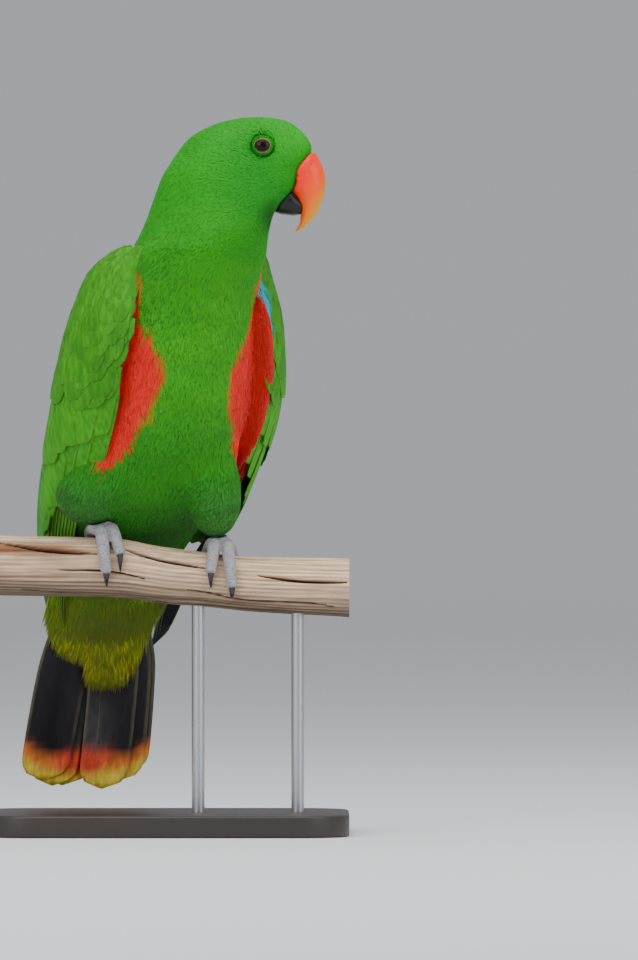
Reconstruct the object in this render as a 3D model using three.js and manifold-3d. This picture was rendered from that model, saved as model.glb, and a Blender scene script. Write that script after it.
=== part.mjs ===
// A perched male eclectus parrot, life size, on a cut length of branch held by a display stand.
// Millimetres. +Z is up, +X runs along the branch to the viewer's right, and -Y is towards the viewer.
// The origin is the middle of the stand's underside.

import * as THREE from 'three';
import { mergeVertices } from 'three/addons/utils/BufferGeometryUtils.js';
import Module from 'manifold-3d';

const wasm = await Module();
wasm.setup();

// Gap kept between neighbouring pieces.
const GAP = 0.3;

// Edges shorter than this are closed up, because cuts leave some that are hair-thin.
const FINEST_DETAIL = 0.05;

// How far the body is turned from facing the viewer, in degrees, and the squareness of its sections.
const BODY_TURN = 22;
const SQUARENESS = 2.15;
const BODY_SIDES = 28;

// The bird from rump to crown, as level sections: height, centre, turn of the section, half width,
// and reach to the front and to the back of the centre.
const BODY = [
  { z: 116, x: -32, y: 51, turn: 22, half: 20, front: 8, back: 9 },
  { z: 122, x: -31, y: 48, turn: 22, half: 26, front: 13, back: 12 },
  { z: 140, x: -27, y: 43, turn: 22, half: 31, front: 15, back: 16 },
  { z: 158, x: -21, y: 36, turn: 22, half: 36, front: 20, back: 22 },
  { z: 172, x: -15, y: 28, turn: 22, half: 40, front: 32, back: 27 },
  { z: 190, x: -9, y: 21, turn: 22, half: 43, front: 41, back: 30 },
  { z: 215, x: -2, y: 9, turn: 22, half: 45, front: 46, back: 33 },
  { z: 245, x: 3, y: -4, turn: 22, half: 45, front: 47, back: 33 },
  { z: 270, x: 6, y: -14, turn: 22, half: 44, front: 46, back: 33 },
  { z: 290, x: 9, y: -20, turn: 22, half: 42, front: 43, back: 33 },
  { z: 305, x: 13, y: -25, turn: 28, half: 40, front: 40, back: 33 },
  { z: 318, x: 19, y: -29, turn: 45, half: 36, front: 38, back: 36 },
  { z: 326, x: 22, y: -30, turn: 60, half: 31, front: 36, back: 36 },
  { z: 334, x: 24.5, y: -30, turn: 72, half: 27.5, front: 35, back: 35 },
  { z: 342, x: 28, y: -29.5, turn: 82, half: 25, front: 36.5, back: 35.5 },
  { z: 349, x: 31, y: -29, turn: 88, half: 23.5, front: 41, back: 36 },
  { z: 357, x: 33, y: -29, turn: 90, half: 22.5, front: 43, back: 35 },
  { z: 365, x: 37.5, y: -29, turn: 90, half: 21.5, front: 42, back: 34.5 },
  { z: 371, x: 43, y: -29, turn: 90, half: 20, front: 38.5, back: 36 },
  { z: 375, x: 45, y: -29, turn: 90, half: 18.5, front: 35.5, back: 35 },
  { z: 379, x: 46, y: -29, turn: 90, half: 16.5, front: 31.5, back: 32 },
  { z: 383, x: 47.5, y: -29, turn: 90, half: 13.5, front: 26, back: 26 },
  { z: 387, x: 49.5, y: -29, turn: 90, half: 9, front: 18, back: 18 },
  { z: 389, x: 51, y: -29, turn: 90, half: 4.5, front: 9, back: 9 },
];
const CROWN_HEIGHT = 389.6;

// Thin cuts that part neck from torso and head from neck: a point on each and its tilt.
const NECK_CUT = { x: 14, y: -26, z: 308, lean: 18 };
const HEAD_CUT = { x: 30, y: -29, z: 346, lean: 22 };

// The folded wings, as level arcs round the body: centre, reach to the side, to the front and back.
const WING = [
  { z: 96, x: -34, y: 64, side: 27, ahead: 11, behind: 12 },
  { z: 101, x: -33, y: 62, side: 30, ahead: 12, behind: 13 },
  { z: 127, x: -29, y: 52, side: 41, ahead: 15, behind: 17 },
  { z: 147, x: -22.5, y: 43, side: 48, ahead: 18, behind: 22 },
  { z: 166, x: -16, y: 35, side: 54.5, ahead: 24, behind: 26 },
  { z: 186, x: -10, y: 26, side: 59.5, ahead: 31, behind: 29 },
  { z: 205, x: -5.7, y: 17, side: 62, ahead: 39, behind: 32 },
  { z: 225, x: -1, y: 8, side: 63, ahead: 44, behind: 34 },
  { z: 244, x: 2, y: -1, side: 62, ahead: 45, behind: 34 },
  { z: 264, x: 4, y: -9, side: 59.5, ahead: 45, behind: 34 },
  { z: 283, x: 6, y: -15, side: 55, ahead: 43, behind: 34 },
  { z: 303, x: 8, y: -18, side: 48, ahead: 31, behind: 31 },
  { z: 313, x: 12, y: -20, side: 41, ahead: 25, behind: 28 },
  { z: 322, x: 15, y: -22, side: 33, ahead: 20, behind: 24 },
];

// Arc angles of the wing, in degrees from straight ahead, and its thickness at the wrist.
const WING_LEAD_ANGLE = 42;
const WING_TRAIL_ANGLE = 164;
const WING_TOP = 318;
const WING_HEM = 257;
const WING_THICKNESS = 7;

// The tail: where it leaves the rump, how it leans, and the size of its feathers.
const TAIL_ROOT = { x: -34.5, y: 47, z: 134 };
const TAIL_TIP = { x: -48.8, y: 73, z: 24 };
const TAIL_FEATHERS = {
  count: 12,
  rootPitch: 3.7,
  tipPitch: 5.2,
  halfWidth: 9.3,
  thickness: 1.1,
  step: 0.95,
};

const MATERIALS = {
  green: material(0x3c9b26, 0.75),
  wing_green: material(0x4fa42c, 0.6),
  olive: material(0x78781a, 0.8),
  tail_dark: material(0x2a262c, 0.6),
  bill: material(0xff7a3c, 0.3),
  black_bill: material(0x2b3033, 0.4),
  eye: material(0x3a1208, 0.1),
  foot: material(0x96949a, 0.8),
  claw: material(0x2c2c30, 0.4),
  branch: material(0xa58a6d, 0.9),
  stand_base: material(0x2a2522, 0.5),
  stand_rod: material(0xb9bcc0, 0.3, 1),
};

function material(color, roughness, metalness = 0) {
  return new THREE.MeshStandardMaterial({ color, roughness, metalness });
}

// Smooth values between the sections of a table, by height.
function sectionAt(table, z) {
  let i = 0;
  while (i < table.length - 2 && z > table[i + 1].z) i += 1;
  const a = table[i];
  const b = table[i + 1];
  const before = table[Math.max(i - 1, 0)];
  const after = table[Math.min(i + 2, table.length - 1)];
  const span = b.z - a.z;
  const t = THREE.MathUtils.clamp((z - a.z) / span, 0, 1);
  const section = { z };
  for (const key of Object.keys(a)) {
    if (key === 'z') continue;
    const slopeA = (b[key] - before[key]) / (b.z - before.z);
    const slopeB = (after[key] - a[key]) / (after.z - a.z);
    section[key] = hermite(a[key], b[key], slopeA * span, slopeB * span, t);
  }
  return section;
}

function hermite(p, q, m, n, t) {
  const t2 = t * t;
  const t3 = t2 * t;
  return (2 * t3 - 3 * t2 + 1) * p + (t3 - 2 * t2 + t) * m + (3 * t2 - 2 * t3) * q + (t3 - t2) * n;
}

function radians(degrees) {
  return THREE.MathUtils.degToRad(degrees);
}

// Unit vectors of a section: where the bird faces, and its left.
function facing(turn) {
  return new THREE.Vector3(Math.sin(radians(turn)), -Math.cos(radians(turn)), 0);
}

function leftOf(turn) {
  return new THREE.Vector3(Math.cos(radians(turn)), Math.sin(radians(turn)), 0);
}

// Reach of a body section in one direction, given as an angle from where the section faces.
function bodyReach(section, angle, grow) {
  const ahead = Math.cos(angle);
  const aside = Math.sin(angle);
  const depth = (ahead > 0 ? section.front : section.back) + grow;
  const half = section.half + grow;
  const sum = Math.abs(ahead / depth) ** SQUARENESS + Math.abs(aside / half) ** SQUARENESS;
  return sum ** (-1 / SQUARENESS);
}

function bodyPoint(z, azimuth, grow) {
  const section = sectionAt(BODY, z);
  const reach = bodyReach(section, azimuth - radians(section.turn), grow);
  return new THREE.Vector3(
    section.x + reach * Math.sin(azimuth),
    section.y - reach * Math.cos(azimuth),
    z,
  );
}

// A closed surface through rings of points, each end closed by a fan round its own centre.
function skinOver(rings, firstCentre, lastCentre) {
  const sides = rings[0].length;
  const positions = [];
  const triangles = [];
  for (const ring of rings) {
    for (const point of ring) positions.push(point.x, point.y, point.z);
  }
  const first = rings.length * sides;
  positions.push(firstCentre.x, firstCentre.y, firstCentre.z);
  positions.push(lastCentre.x, lastCentre.y, lastCentre.z);
  for (let i = 0; i < sides; i += 1) {
    const j = (i + 1) % sides;
    for (let k = 0; k < rings.length - 1; k += 1) {
      const low = k * sides;
      const high = low + sides;
      triangles.push(low + i, low + j, high + j, low + i, high + j, high + i);
    }
    const top = (rings.length - 1) * sides;
    triangles.push(first, j, i, first + 1, top + i, top + j);
  }
  const geometry = new THREE.BufferGeometry();
  geometry.setAttribute('position', new THREE.Float32BufferAttribute(positions, 3));
  geometry.setIndex(triangles);
  return geometry;
}

// A solid from a closed geometry, turned the right way out.
function solidOf(geometry) {
  const bare = geometry.clone();
  bare.deleteAttribute('normal');
  bare.deleteAttribute('uv');
  const merged = mergeVertices(bare, 1e-4);
  const vertProperties = new Float32Array(merged.attributes.position.array);
  const triVerts = new Uint32Array(merged.index.array);
  if (signedVolume(vertProperties, triVerts) < 0) triVerts.reverse();
  return new wasm.Manifold(new wasm.Mesh({ numProp: 3, vertProperties, triVerts }));
}

function signedVolume(points, triangles) {
  const corner = (i) => new THREE.Vector3().fromArray(points, triangles[i] * 3);
  let total = 0;
  for (let i = 0; i < triangles.length; i += 3) {
    total += corner(i).dot(corner(i + 1).cross(corner(i + 2)));
  }
  return total;
}

// The geometry of a solid, without the hair-thin triangles that cuts leave at their edges, and with
// loose scraps and sealed hollows dropped.
function geometryOf(solid) {
  const pieces = solid.asOriginal().simplify(FINEST_DETAIL).decompose();
  pieces.sort((a, b) => b.volume() - a.volume());
  const mesh = pieces[0].getMesh();
  const geometry = new THREE.BufferGeometry();
  geometry.setAttribute('position', new THREE.BufferAttribute(mesh.vertProperties, 3));
  geometry.setIndex(new THREE.BufferAttribute(mesh.triVerts, 1));
  return geometry;
}

function joined(solids) {
  return solids.reduce((sum, solid) => sum.add(solid));
}

function without(solid, ...others) {
  return others.reduce((rest, other) => rest.subtract(other), solid);
}

// Rump, torso, neck and head in one piece, optionally grown all round.
function bodySolid(grow = 0) {
  const heights = [116, 119];
  for (let z = 125; z < 340; z += 10) heights.push(z);
  heights.push(340, 346, 352, 358, 364, 369, 373.5, 377.5, 381, 384, 386.5, 388.3);
  const rings = heights.map((z) => {
    const ring = [];
    for (let i = 0; i < BODY_SIDES; i += 1) {
      ring.push(bodyPoint(z, (i / BODY_SIDES) * 2 * Math.PI, grow));
    }
    return ring;
  });
  const low = sectionAt(BODY, heights[0]);
  const high = sectionAt(BODY, heights.at(-1));
  return solidOf(skinOver(
    rings,
    new THREE.Vector3(low.x, low.y, low.z - 3 - grow),
    new THREE.Vector3(high.x, high.y, CROWN_HEIGHT + grow),
  ));
}

// A thin slab that parts the body where a cut is named.
function cuttingSlab(cut) {
  const slab = new THREE.BoxGeometry(300, 300, GAP);
  slab.rotateY(radians(cut.lean));
  slab.translate(cut.x, cut.y, cut.z);
  return solidOf(slab);
}

// A point of the folded wing: height, arc angle from straight ahead, and lift off the sheet.
function wingPoint(side, z, angle, lift) {
  const arc = sectionAt(WING, z);
  const a = radians(angle);
  const depth = Math.cos(a) > 0 ? arc.ahead : arc.behind;
  const aside = arc.side * Math.sin(a);
  const ahead = depth * Math.cos(a);
  const outward = new THREE.Vector2(Math.sin(a) / arc.side, Math.cos(a) / depth).normalize();
  const point = new THREE.Vector3(arc.x, arc.y, z);
  point.addScaledVector(leftOf(BODY_TURN), side * (aside + outward.x * lift));
  point.addScaledVector(facing(BODY_TURN), ahead + outward.y * lift);
  return point;
}

// Thickness of the wing over its small coverts, as a share of the wrist's: round at the leading edge
// and at the top, thinner towards the back, and still stout at the blunt hem.
function wingSwell(u, v) {
  const lead = Math.sqrt(1 - (1 - Math.min(u / 0.2, 1)) ** 2);
  const top = Math.sqrt(1 - (1 - Math.min(v / 0.2, 1)) ** 2);
  return Math.max(0.12, lead * top * (1 - 0.35 * u) * (1 - 0.2 * v) * Math.sqrt(1 - u ** 8));
}

// The part of the folded wing that its small coverts clad: a curved plate whose upper inner side
// reaches in to the shoulder, and whose blunt hem holds the roots of the long feathers.
function wingPanel(side) {
  const across = 16;
  const rowsDown = [0, 0.06, 0.15, 0.3, 0.45, 0.6, 0.75, 0.95, 1];
  const grid = (inner) => rowsDown.map((v) => (
    Array.from({ length: across + 1 }, (_, i) => panelPoint(side, i / across, v, inner))
  ));
  return solidOf(plateBetween(grid(false), grid(true)));
}

// The secondaries and great coverts of one wing, as tiers. Each feather runs from its root to its
// tip, both a height and an arc angle, which follow its place in the tier, from 0 at the leading
// edge to 1. It lies at a set lift off the wing's sheet.
const SECONDARIES = {
  count: 8,
  root: (s) => ({ z: 263, angle: 50 + 104 * s }),
  tip: (s) => ({ z: 160 + 30 * (1 - s) ** 2.2 + 12 * s ** 6, angle: 60 + 96 * s ** 0.94 }),
  lift: -0.4,
  halfWidth: 10.6,
  thickness: 1.2,
  tilt: 11,
};
const GREATER_COVERTS = {
  count: 8,
  root: (s) => alongSecondary(s, 264),
  tip: (s) => alongSecondary(s, 208 + 5 * Math.cos(5 * s)),
  lift: 2,
  halfWidth: 10.4,
  thickness: 1.2,
  tilt: 11,
};
const PRIMARY_COVERTS = {
  count: 2,
  root: (s) => ({ z: 265, angle: 46.5 + 6 * s }),
  tip: (s) => ({ z: 209 + 3 * s, angle: 45.5 + 7 * s }),
  lift: -2,
  halfWidth: 6,
  thickness: 2.6,
  tilt: 10,
};
const WING_TIERS = [SECONDARIES, GREATER_COVERTS, PRIMARY_COVERTS];
const FEATHER_STEPS = [0, 0.3, 0.62, 0.88, 0.96, 1];

// The primaries lie as a flat fanned stack under the secondaries: the angle of the stack's middle
// at root and tip, its lift there, how far the feathers fan out, and how far each lies off the next.
const PRIMARIES = {
  count: 6,
  root: { z: 262, angle: 64, lift: -6.5, fan: 22 },
  tip: { z: 101, angle: 97, lift: -4, fan: 14 },
  dip: 60,
  step: 1,
  halfWidth: 6.8,
  thickness: 1,
};

function primaryFeather(side, s, grow) {
  const lerp = THREE.MathUtils.lerp;
  const { root, tip, dip, step, count, halfWidth, thickness } = PRIMARIES;
  const tipHeight = tip.z + dip * (s - 0.3) ** 2;
  const path = FEATHER_STEPS.map((t) => {
    const z = lerp(root.z, tipHeight, t);
    const fall = (root.z - z) / (root.z - tip.z);
    const angle = lerp(root.angle, tip.angle, fall);
    const lift = lerp(root.lift, tip.lift, smooth(fall, 0.65, 0.95)) + (s - 0.5) * step * (count - 1);
    const sheet = wingPoint(side, z, angle, 0);
    const outward = wingPoint(side, z, angle, 1).sub(sheet);
    const back = new THREE.Vector3(-outward.y, outward.x, 0).multiplyScalar(side);
    const point = sheet.addScaledVector(outward, lift);
    point.addScaledVector(back, (s - 0.5) * lerp(root.fan, tip.fan, fall));
    return { t, point, normal: outward };
  });
  return blade(path, halfWidth, thickness, { camber: 0.3, grow, mirrored: side > 0 });
}

// The place at a given height on the line of the secondary that a great covert lies over.
function alongSecondary(s, z) {
  const root = SECONDARIES.root(s);
  const tip = SECONDARIES.tip(s);
  const t = (root.z - z) / (root.z - tip.z);
  return { z, angle: THREE.MathUtils.lerp(root.angle, tip.angle, t) };
}

function wingFeather(side, tier, s) {
  const lerp = THREE.MathUtils.lerp;
  const root = tier.root(s);
  const tip = tier.tip(s);
  const path = FEATHER_STEPS.map((t) => {
    const z = lerp(root.z, tip.z, t);
    const angle = lerp(root.angle, tip.angle, t);
    const point = wingPoint(side, z, angle, tier.lift);
    const normal = wingPoint(side, z, angle, tier.lift + 1).sub(point);
    return { t, point, normal, camber: sheetFall(side, z, angle, tier.halfWidth) };
  });
  const options = { tilt: -side * tier.tilt, mirrored: side > 0 };
  return blade(path, tier.halfWidth, tier.thickness, options);
}

// How far the wing's sheet falls away to the sides of a place, at a given distance from it.
function sheetFall(side, z, angle, distance) {
  const before = wingPoint(side, z, angle - 8, 0);
  const after = wingPoint(side, z, angle + 8, 0);
  const chord = before.distanceTo(after);
  const sagitta = before.add(after).multiplyScalar(0.5).distanceTo(wingPoint(side, z, angle, 0));
  return 4 * sagitta * (distance / chord) ** 2;
}

function primaryFeathers(side, grow = 0) {
  const { count } = PRIMARIES;
  return Array.from({ length: count }, (_, i) => primaryFeather(side, i / (count - 1), grow));
}

function wingFeathers(side) {
  const tiers = WING_TIERS.flatMap((tier) => (
    Array.from({ length: tier.count }, (_, i) => wingFeather(side, tier, i / (tier.count - 1)))
  ));
  return [...primaryFeathers(side), ...tiers];
}

function panelPoint(side, u, v, inner) {
  const angle = THREE.MathUtils.lerp(WING_LEAD_ANGLE, WING_TRAIL_ANGLE, u);
  const z = THREE.MathUtils.lerp(WING_TOP, WING_HEM, v);
  const edge = u === 0 || u === 1 || v === 0 || v === 1;
  const half = edge ? 0 : wingSwell(u, v) * WING_THICKNESS * 0.5;
  if (!inner) return wingPoint(side, z, angle, half);
  const skin = wingPoint(side, z, angle, -half);
  const fill = edge ? 0 : smooth(u, 0.06, 0.3) * (1 - smooth(v, 0.45, 0.8));
  const centre = sectionAt(BODY, z);
  const azimuth = Math.atan2(skin.x - centre.x, centre.y - skin.y);
  return skin.lerp(bodyPoint(z, azimuth, -1.5), fill);
}

function smooth(value, from, to) {
  return THREE.MathUtils.smoothstep(value, from, to);
}

// A closed plate between two grids of points that share their edge points.
function plateBetween(outer, inner) {
  const rows = outer.length;
  const columns = outer[0].length;
  const positions = [];
  const triangles = [];
  for (const grid of [outer, inner]) {
    for (const row of grid) {
      for (const point of row) positions.push(point.x, point.y, point.z);
    }
  }
  const offset = rows * columns;
  for (let j = 0; j < rows - 1; j += 1) {
    for (let i = 0; i < columns - 1; i += 1) {
      const a = j * columns + i;
      const b = a + 1;
      const c = a + columns;
      const d = c + 1;
      triangles.push(a, c, b, b, c, d);
      triangles.push(offset + a, offset + b, offset + c, offset + b, offset + d, offset + c);
    }
  }
  const geometry = new THREE.BufferGeometry();
  geometry.setAttribute('position', new THREE.Float32BufferAttribute(positions, 3));
  geometry.setIndex(triangles);
  return geometry;
}

// A feather blade along a path of points and normals: widest past its middle, thin at its edges,
// with a blunt round tip. Tilt turns it about its shaft, so that neighbours overlap like shingles.
// A mirrored blade has its faces split the other way, as the left wing mirrors the right.
function blade(path, halfWidth, thickness, options = {}) {
  const { tipLength = 0.16, rootWidth = 0.5, tilt = 0, grow = 0, mirrored = false } = options;
  const last = path.length - 1;
  const rings = [];
  for (let k = 0; k < last; k += 1) {
    const { t, point, normal, camber = options.camber ?? 0.5 } = path[k];
    const along = path[k + 1].point.clone().sub(path[Math.max(k - 1, 0)].point).normalize();
    const aside = along.clone().cross(normal).normalize().applyAxisAngle(along, radians(tilt));
    const up = aside.clone().cross(along);
    const rounded = t > 1 - tipLength ? Math.sqrt(1 - ((t - 1 + tipLength) / tipLength) ** 2) : 1;
    const width = halfWidth * THREE.MathUtils.lerp(rootWidth, 1, Math.min(t / 0.5, 1)) * rounded + grow;
    const thick = thickness * (1 - 0.45 * t) * 0.5 + grow;
    const drop = camber * (width / halfWidth) ** 2;
    const ring = [
      point.clone().addScaledVector(aside, width).addScaledVector(up, -drop),
      point.clone().addScaledVector(up, thick),
      point.clone().addScaledVector(aside, -width).addScaledVector(up, -drop),
      point.clone().addScaledVector(up, -thick),
    ];
    rings.push(mirrored ? ring.reverse() : ring);
  }
  return solidOf(skinOver(rings, path[0].point.clone(), path[last].point.clone()));
}

// The tail in its own frame: how far along it, how far aside, and how far above its sheet.
function tailPoint(along, aside, above) {
  const root = new THREE.Vector3(TAIL_ROOT.x, TAIL_ROOT.y, TAIL_ROOT.z);
  const tip = new THREE.Vector3(TAIL_TIP.x, TAIL_TIP.y, TAIL_TIP.z);
  const across = leftOf(BODY_TURN);
  const axis = tip.clone().sub(root);
  const up = across.clone().cross(axis).normalize();
  if (up.y < 0) up.negate();
  return root.addScaledVector(axis, along).addScaledVector(across, aside).addScaledVector(up, above);
}

function tailNormal() {
  return tailPoint(0, 0, 1).sub(tailPoint(0, 0, 0));
}

// The twelve tail feathers, the middle pair uppermost and each pair outside it a step lower, all
// held in a block at the root, which the coverts hide.
function tailSolid(grow = 0) {
  const { count, rootPitch, tipPitch, halfWidth, thickness, step } = TAIL_FEATHERS;
  const feathers = [];
  for (let i = 0; i < count; i += 1) {
    const place = i - (count - 1) / 2;
    const length = 1 - 0.0027 * place ** 2;
    const path = TAIL_STEPS.map((t) => {
      const spread = THREE.MathUtils.lerp(place * rootPitch, place * tipPitch, 1 - (1 - t) ** 2);
      const drop = Math.abs(place) * step * THREE.MathUtils.lerp(0.45, 1, Math.min(t / 0.4, 1));
      return { t, point: tailPoint(t * length, spread, -drop), normal: tailNormal() };
    });
    feathers.push(blade(path, halfWidth, thickness, { tipLength: 0.1, rootWidth: 0.6, grow }));
  }
  const block = [0, 0.12, 0.22, 0.27, 0.3].map((t) => (
    { t: t / 0.3, point: tailPoint(t, 0, -step * 2.2), normal: tailNormal() }
  ));
  feathers.push(blade(block, 25, 13, { camber: 0, tipLength: 0.25, rootWidth: 0.8, grow }));
  return joined(feathers);
}

const TAIL_STEPS = [0, 0.3, 0.6, 0.9, 0.97, 1];

// Coverts over or under the root of the tail, as long soft leaves: for each, its place aside at
// root and tip, and how far along the tail it reaches.
const UNDERTAIL = [
  { from: -15, to: -18, reach: 0.3 },
  { from: -9, to: -11, reach: 0.385 },
  { from: -2.5, to: -2.5, reach: 0.5 },
  { from: 5, to: 4.5, reach: 0.525 },
  { from: 12, to: 12.5, reach: 0.45 },
  { from: 19, to: 20.5, reach: 0.32 },
];
const UNDERTAIL_SHORT = [-8, 12].map((x) => ({ from: x, to: x, reach: 0.24 }));
const UPPERTAIL = [-16, -8, 0, 8, 16].map((x) => {
  return { from: x, to: x * 1.15, reach: 0.36 - 0.005 * Math.abs(x) };
});

function tailCoverts(leaves, above, halfWidth, thickness) {
  const lerp = THREE.MathUtils.lerp;
  return leaves.map((leaf, i) => {
    const path = COVERT_STEPS.map((t) => ({
      t,
      point: tailPoint(
        lerp(-0.06, leaf.reach, t),
        lerp(leaf.from, leaf.to, t),
        lerp(above.root, above.tip, t) + 0.4 * Math.sin(4 * i),
      ),
      normal: tailNormal(),
    }));
    return blade(path, halfWidth, thickness, { camber: 0, tipLength: 0.3, rootWidth: 0.8 });
  });
}

const COVERT_STEPS = [0, 0.5, 0.86, 0.97, 1];

// A round limb through a list of centres and radii, with a rounded end at both tips.
function limb(stations, sides = 12) {
  const curve = new THREE.CatmullRomCurve3(stations.map((s) => new THREE.Vector3(s.x, s.y, s.z)));
  const count = (stations.length - 1) * 2;
  const rings = [];
  for (let k = 0; k <= count; k += 1) {
    const t = k / count;
    const index = t * (stations.length - 1);
    const lower = Math.min(Math.floor(index), stations.length - 2);
    const radius = THREE.MathUtils.lerp(stations[lower].r, stations[lower + 1].r, index - lower);
    const point = curve.getPoint(t);
    const along = curve.getTangent(t);
    const aside = new THREE.Vector3(1, 0.2, 0).projectOnPlane(along).normalize();
    const up = along.clone().cross(aside);
    const ring = [];
    for (let i = 0; i < sides; i += 1) {
      const a = (i / sides) * 2 * Math.PI;
      ring.push(point.clone()
        .addScaledVector(aside, radius * Math.cos(a))
        .addScaledVector(up, radius * Math.sin(a)));
    }
    rings.push(ring);
  }
  const start = curve.getPoint(0).addScaledVector(curve.getTangent(0), -stations[0].r * 0.5);
  const end = curve.getPoint(1).addScaledVector(curve.getTangent(1), stations.at(-1).r * 0.5);
  return solidOf(skinOver(rings, start, end));
}

// The feathered thighs: hip inside the torso, ankle just over the foot.
const THIGHS = {
  right: [
    { x: -15, y: -1, z: 236, r: 12 },
    { x: -25, y: -4, z: 216, r: 17 },
    { x: -34, y: -6, z: 198, r: 19 },
    { x: -39, y: -5, z: 183, r: 17 },
    { x: -39.5, y: -1, z: 172, r: 10 },
  ],
  left: [
    { x: 15, y: 4, z: 228, r: 11 },
    { x: 20, y: 0, z: 208, r: 16 },
    { x: 24.5, y: -3, z: 190, r: 18 },
    { x: 27, y: -3, z: 175, r: 15.5 },
    { x: 27.5, y: 1, z: 164, r: 9 },
  ],
};

// The branch: its centre line and radius along X.
const BRANCH = [
  { x: -98, z: 146.8, r: 16.4 },
  { x: -60, z: 145.6, r: 16.2 },
  { x: -25, z: 144.2, r: 16 },
  { x: 0, z: 140.4, r: 15.2 },
  { x: 20, z: 138.4, r: 14.8 },
  { x: 45, z: 135.6, r: 15 },
  { x: 100, z: 132.8, r: 16 },
];
const BRANCH_SIDES = 20;
const BRANCH_RINGS = 18;

// Height of the branch's middle, and its radius at an angle from its top.
function branchAt(x, angle = 0) {
  const section = sectionAt(BRANCH.map((s) => ({ z: s.x, height: s.z, radius: s.r })), x);
  const wave = 1 + 0.03 * Math.sin(3 * angle + x * 0.02) + 0.02 * Math.sin(5 * angle - x * 0.05);
  return { height: section.height, radius: section.radius * wave };
}

function branchSolid(grow = 0) {
  const rings = [];
  const from = BRANCH[0].x - grow;
  const to = BRANCH.at(-1).x + grow;
  for (let k = 0; k <= BRANCH_RINGS; k += 1) {
    const x = THREE.MathUtils.lerp(from, to, k / BRANCH_RINGS);
    const ring = [];
    for (let i = 0; i < BRANCH_SIDES; i += 1) {
      const angle = (i / BRANCH_SIDES) * 2 * Math.PI;
      ring.push(overBranch(x, THREE.MathUtils.radToDeg(angle), grow));
    }
    rings.push(ring);
  }
  const first = new THREE.Vector3(from, 0, branchAt(from).height);
  const last = new THREE.Vector3(to, 0, branchAt(to).height);
  return solidOf(skinOver(rings, first, last));
}

// A point over the branch: place along it, angle from its top, and height above its bark.
function overBranch(x, degrees, above) {
  const angle = radians(degrees);
  const { height, radius } = branchAt(x, angle);
  const reach = radius + above;
  return new THREE.Vector3(x, -reach * Math.sin(angle), height + reach * Math.cos(angle));
}

// The feet: the middle of each on the branch, and the toes by where they start and end along X,
// the angle over the branch where they end (positive to the front) and the length of their claw.
const TOE_RADIUS = 4.2;
const TOE_TAPER = 0.27;
const CLAW_RADIUS = 2.2;
const CLAW_START = 6;
const TOE_CLEARANCE = 0.6;
const FEET = {
  right: {
    x: -34,
    toes: [
      { from: -36, to: -31.5, end: 97, claw: 30 },
      { from: -31, to: -24, end: 66, claw: 26 },
      { from: -38, to: -45, end: -86, claw: 24 },
      { from: -32, to: -27, end: -76, claw: 24 },
    ],
  },
  left: {
    x: 30,
    toes: [
      { from: 28, to: 25, end: 76, claw: 26 },
      { from: 33, to: 36.5, end: 96, claw: 28 },
      { from: 27, to: 20, end: -76, claw: 24 },
      { from: 33, to: 39, end: -86, claw: 24 },
    ],
  },
};

function toeRadius(t) {
  return TOE_RADIUS * (1 - TOE_TAPER * t);
}

function toeSolid(toe) {
  const start = -Math.sign(toe.end) * 12;
  const stations = [];
  for (let k = 0; k <= 3; k += 1) {
    const t = k / 3;
    const x = THREE.MathUtils.lerp(toe.from, toe.to, t);
    const angle = THREE.MathUtils.lerp(start, toe.end, t);
    const point = overBranch(x, angle, toeRadius(t) + TOE_CLEARANCE + (1 - t) * 1.1);
    stations.push({ x: point.x, y: point.y, z: point.z, r: toeRadius(t) });
  }
  return limb(stations, 8);
}

function footSolid(foot, ankle) {
  const top = overBranch(foot.x, 0, 5.9);
  const shank = limb([
    { x: top.x, y: top.y - 1, z: top.z, r: 5.2 },
    { x: (top.x + ankle.x) / 2, y: (top.y + ankle.y) / 2, z: top.z + 4, r: 5 },
    { x: ankle.x, y: ankle.y + 1, z: ankle.z + 4, r: 4.6 },
  ], 8);
  return joined([shank, ...foot.toes.map(toeSolid)]);
}

// A claw that goes on along its toe's curve and dips to the bark.
function clawSolid(toe) {
  const sense = Math.sign(toe.end);
  const steps = 4;
  const start = toe.end + sense * CLAW_START;
  const above = (t) => CLAW_RADIUS * (1 - t) + 0.5;
  const at = (t, lift) => overBranch(toe.to, start + sense * toe.claw * t, above(t) + lift);
  const rings = [];
  for (let k = 0; k < steps; k += 1) {
    const t = k / steps;
    const radius = CLAW_RADIUS * (1 - t) + 0.2 * t;
    const centre = at(t, 0.2);
    const outward = at(t, 1.2).sub(centre);
    const ring = [];
    for (let i = 0; i < 7; i += 1) {
      const a = (i / 7) * 2 * Math.PI;
      ring.push(centre.clone()
        .add(new THREE.Vector3(radius * 0.85 * Math.cos(a), 0, 0))
        .addScaledVector(outward, radius * Math.sin(a)));
    }
    rings.push(ring);
  }
  return solidOf(skinOver(rings, at(0, 0.2), at(1, 0.1)));
}

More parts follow.
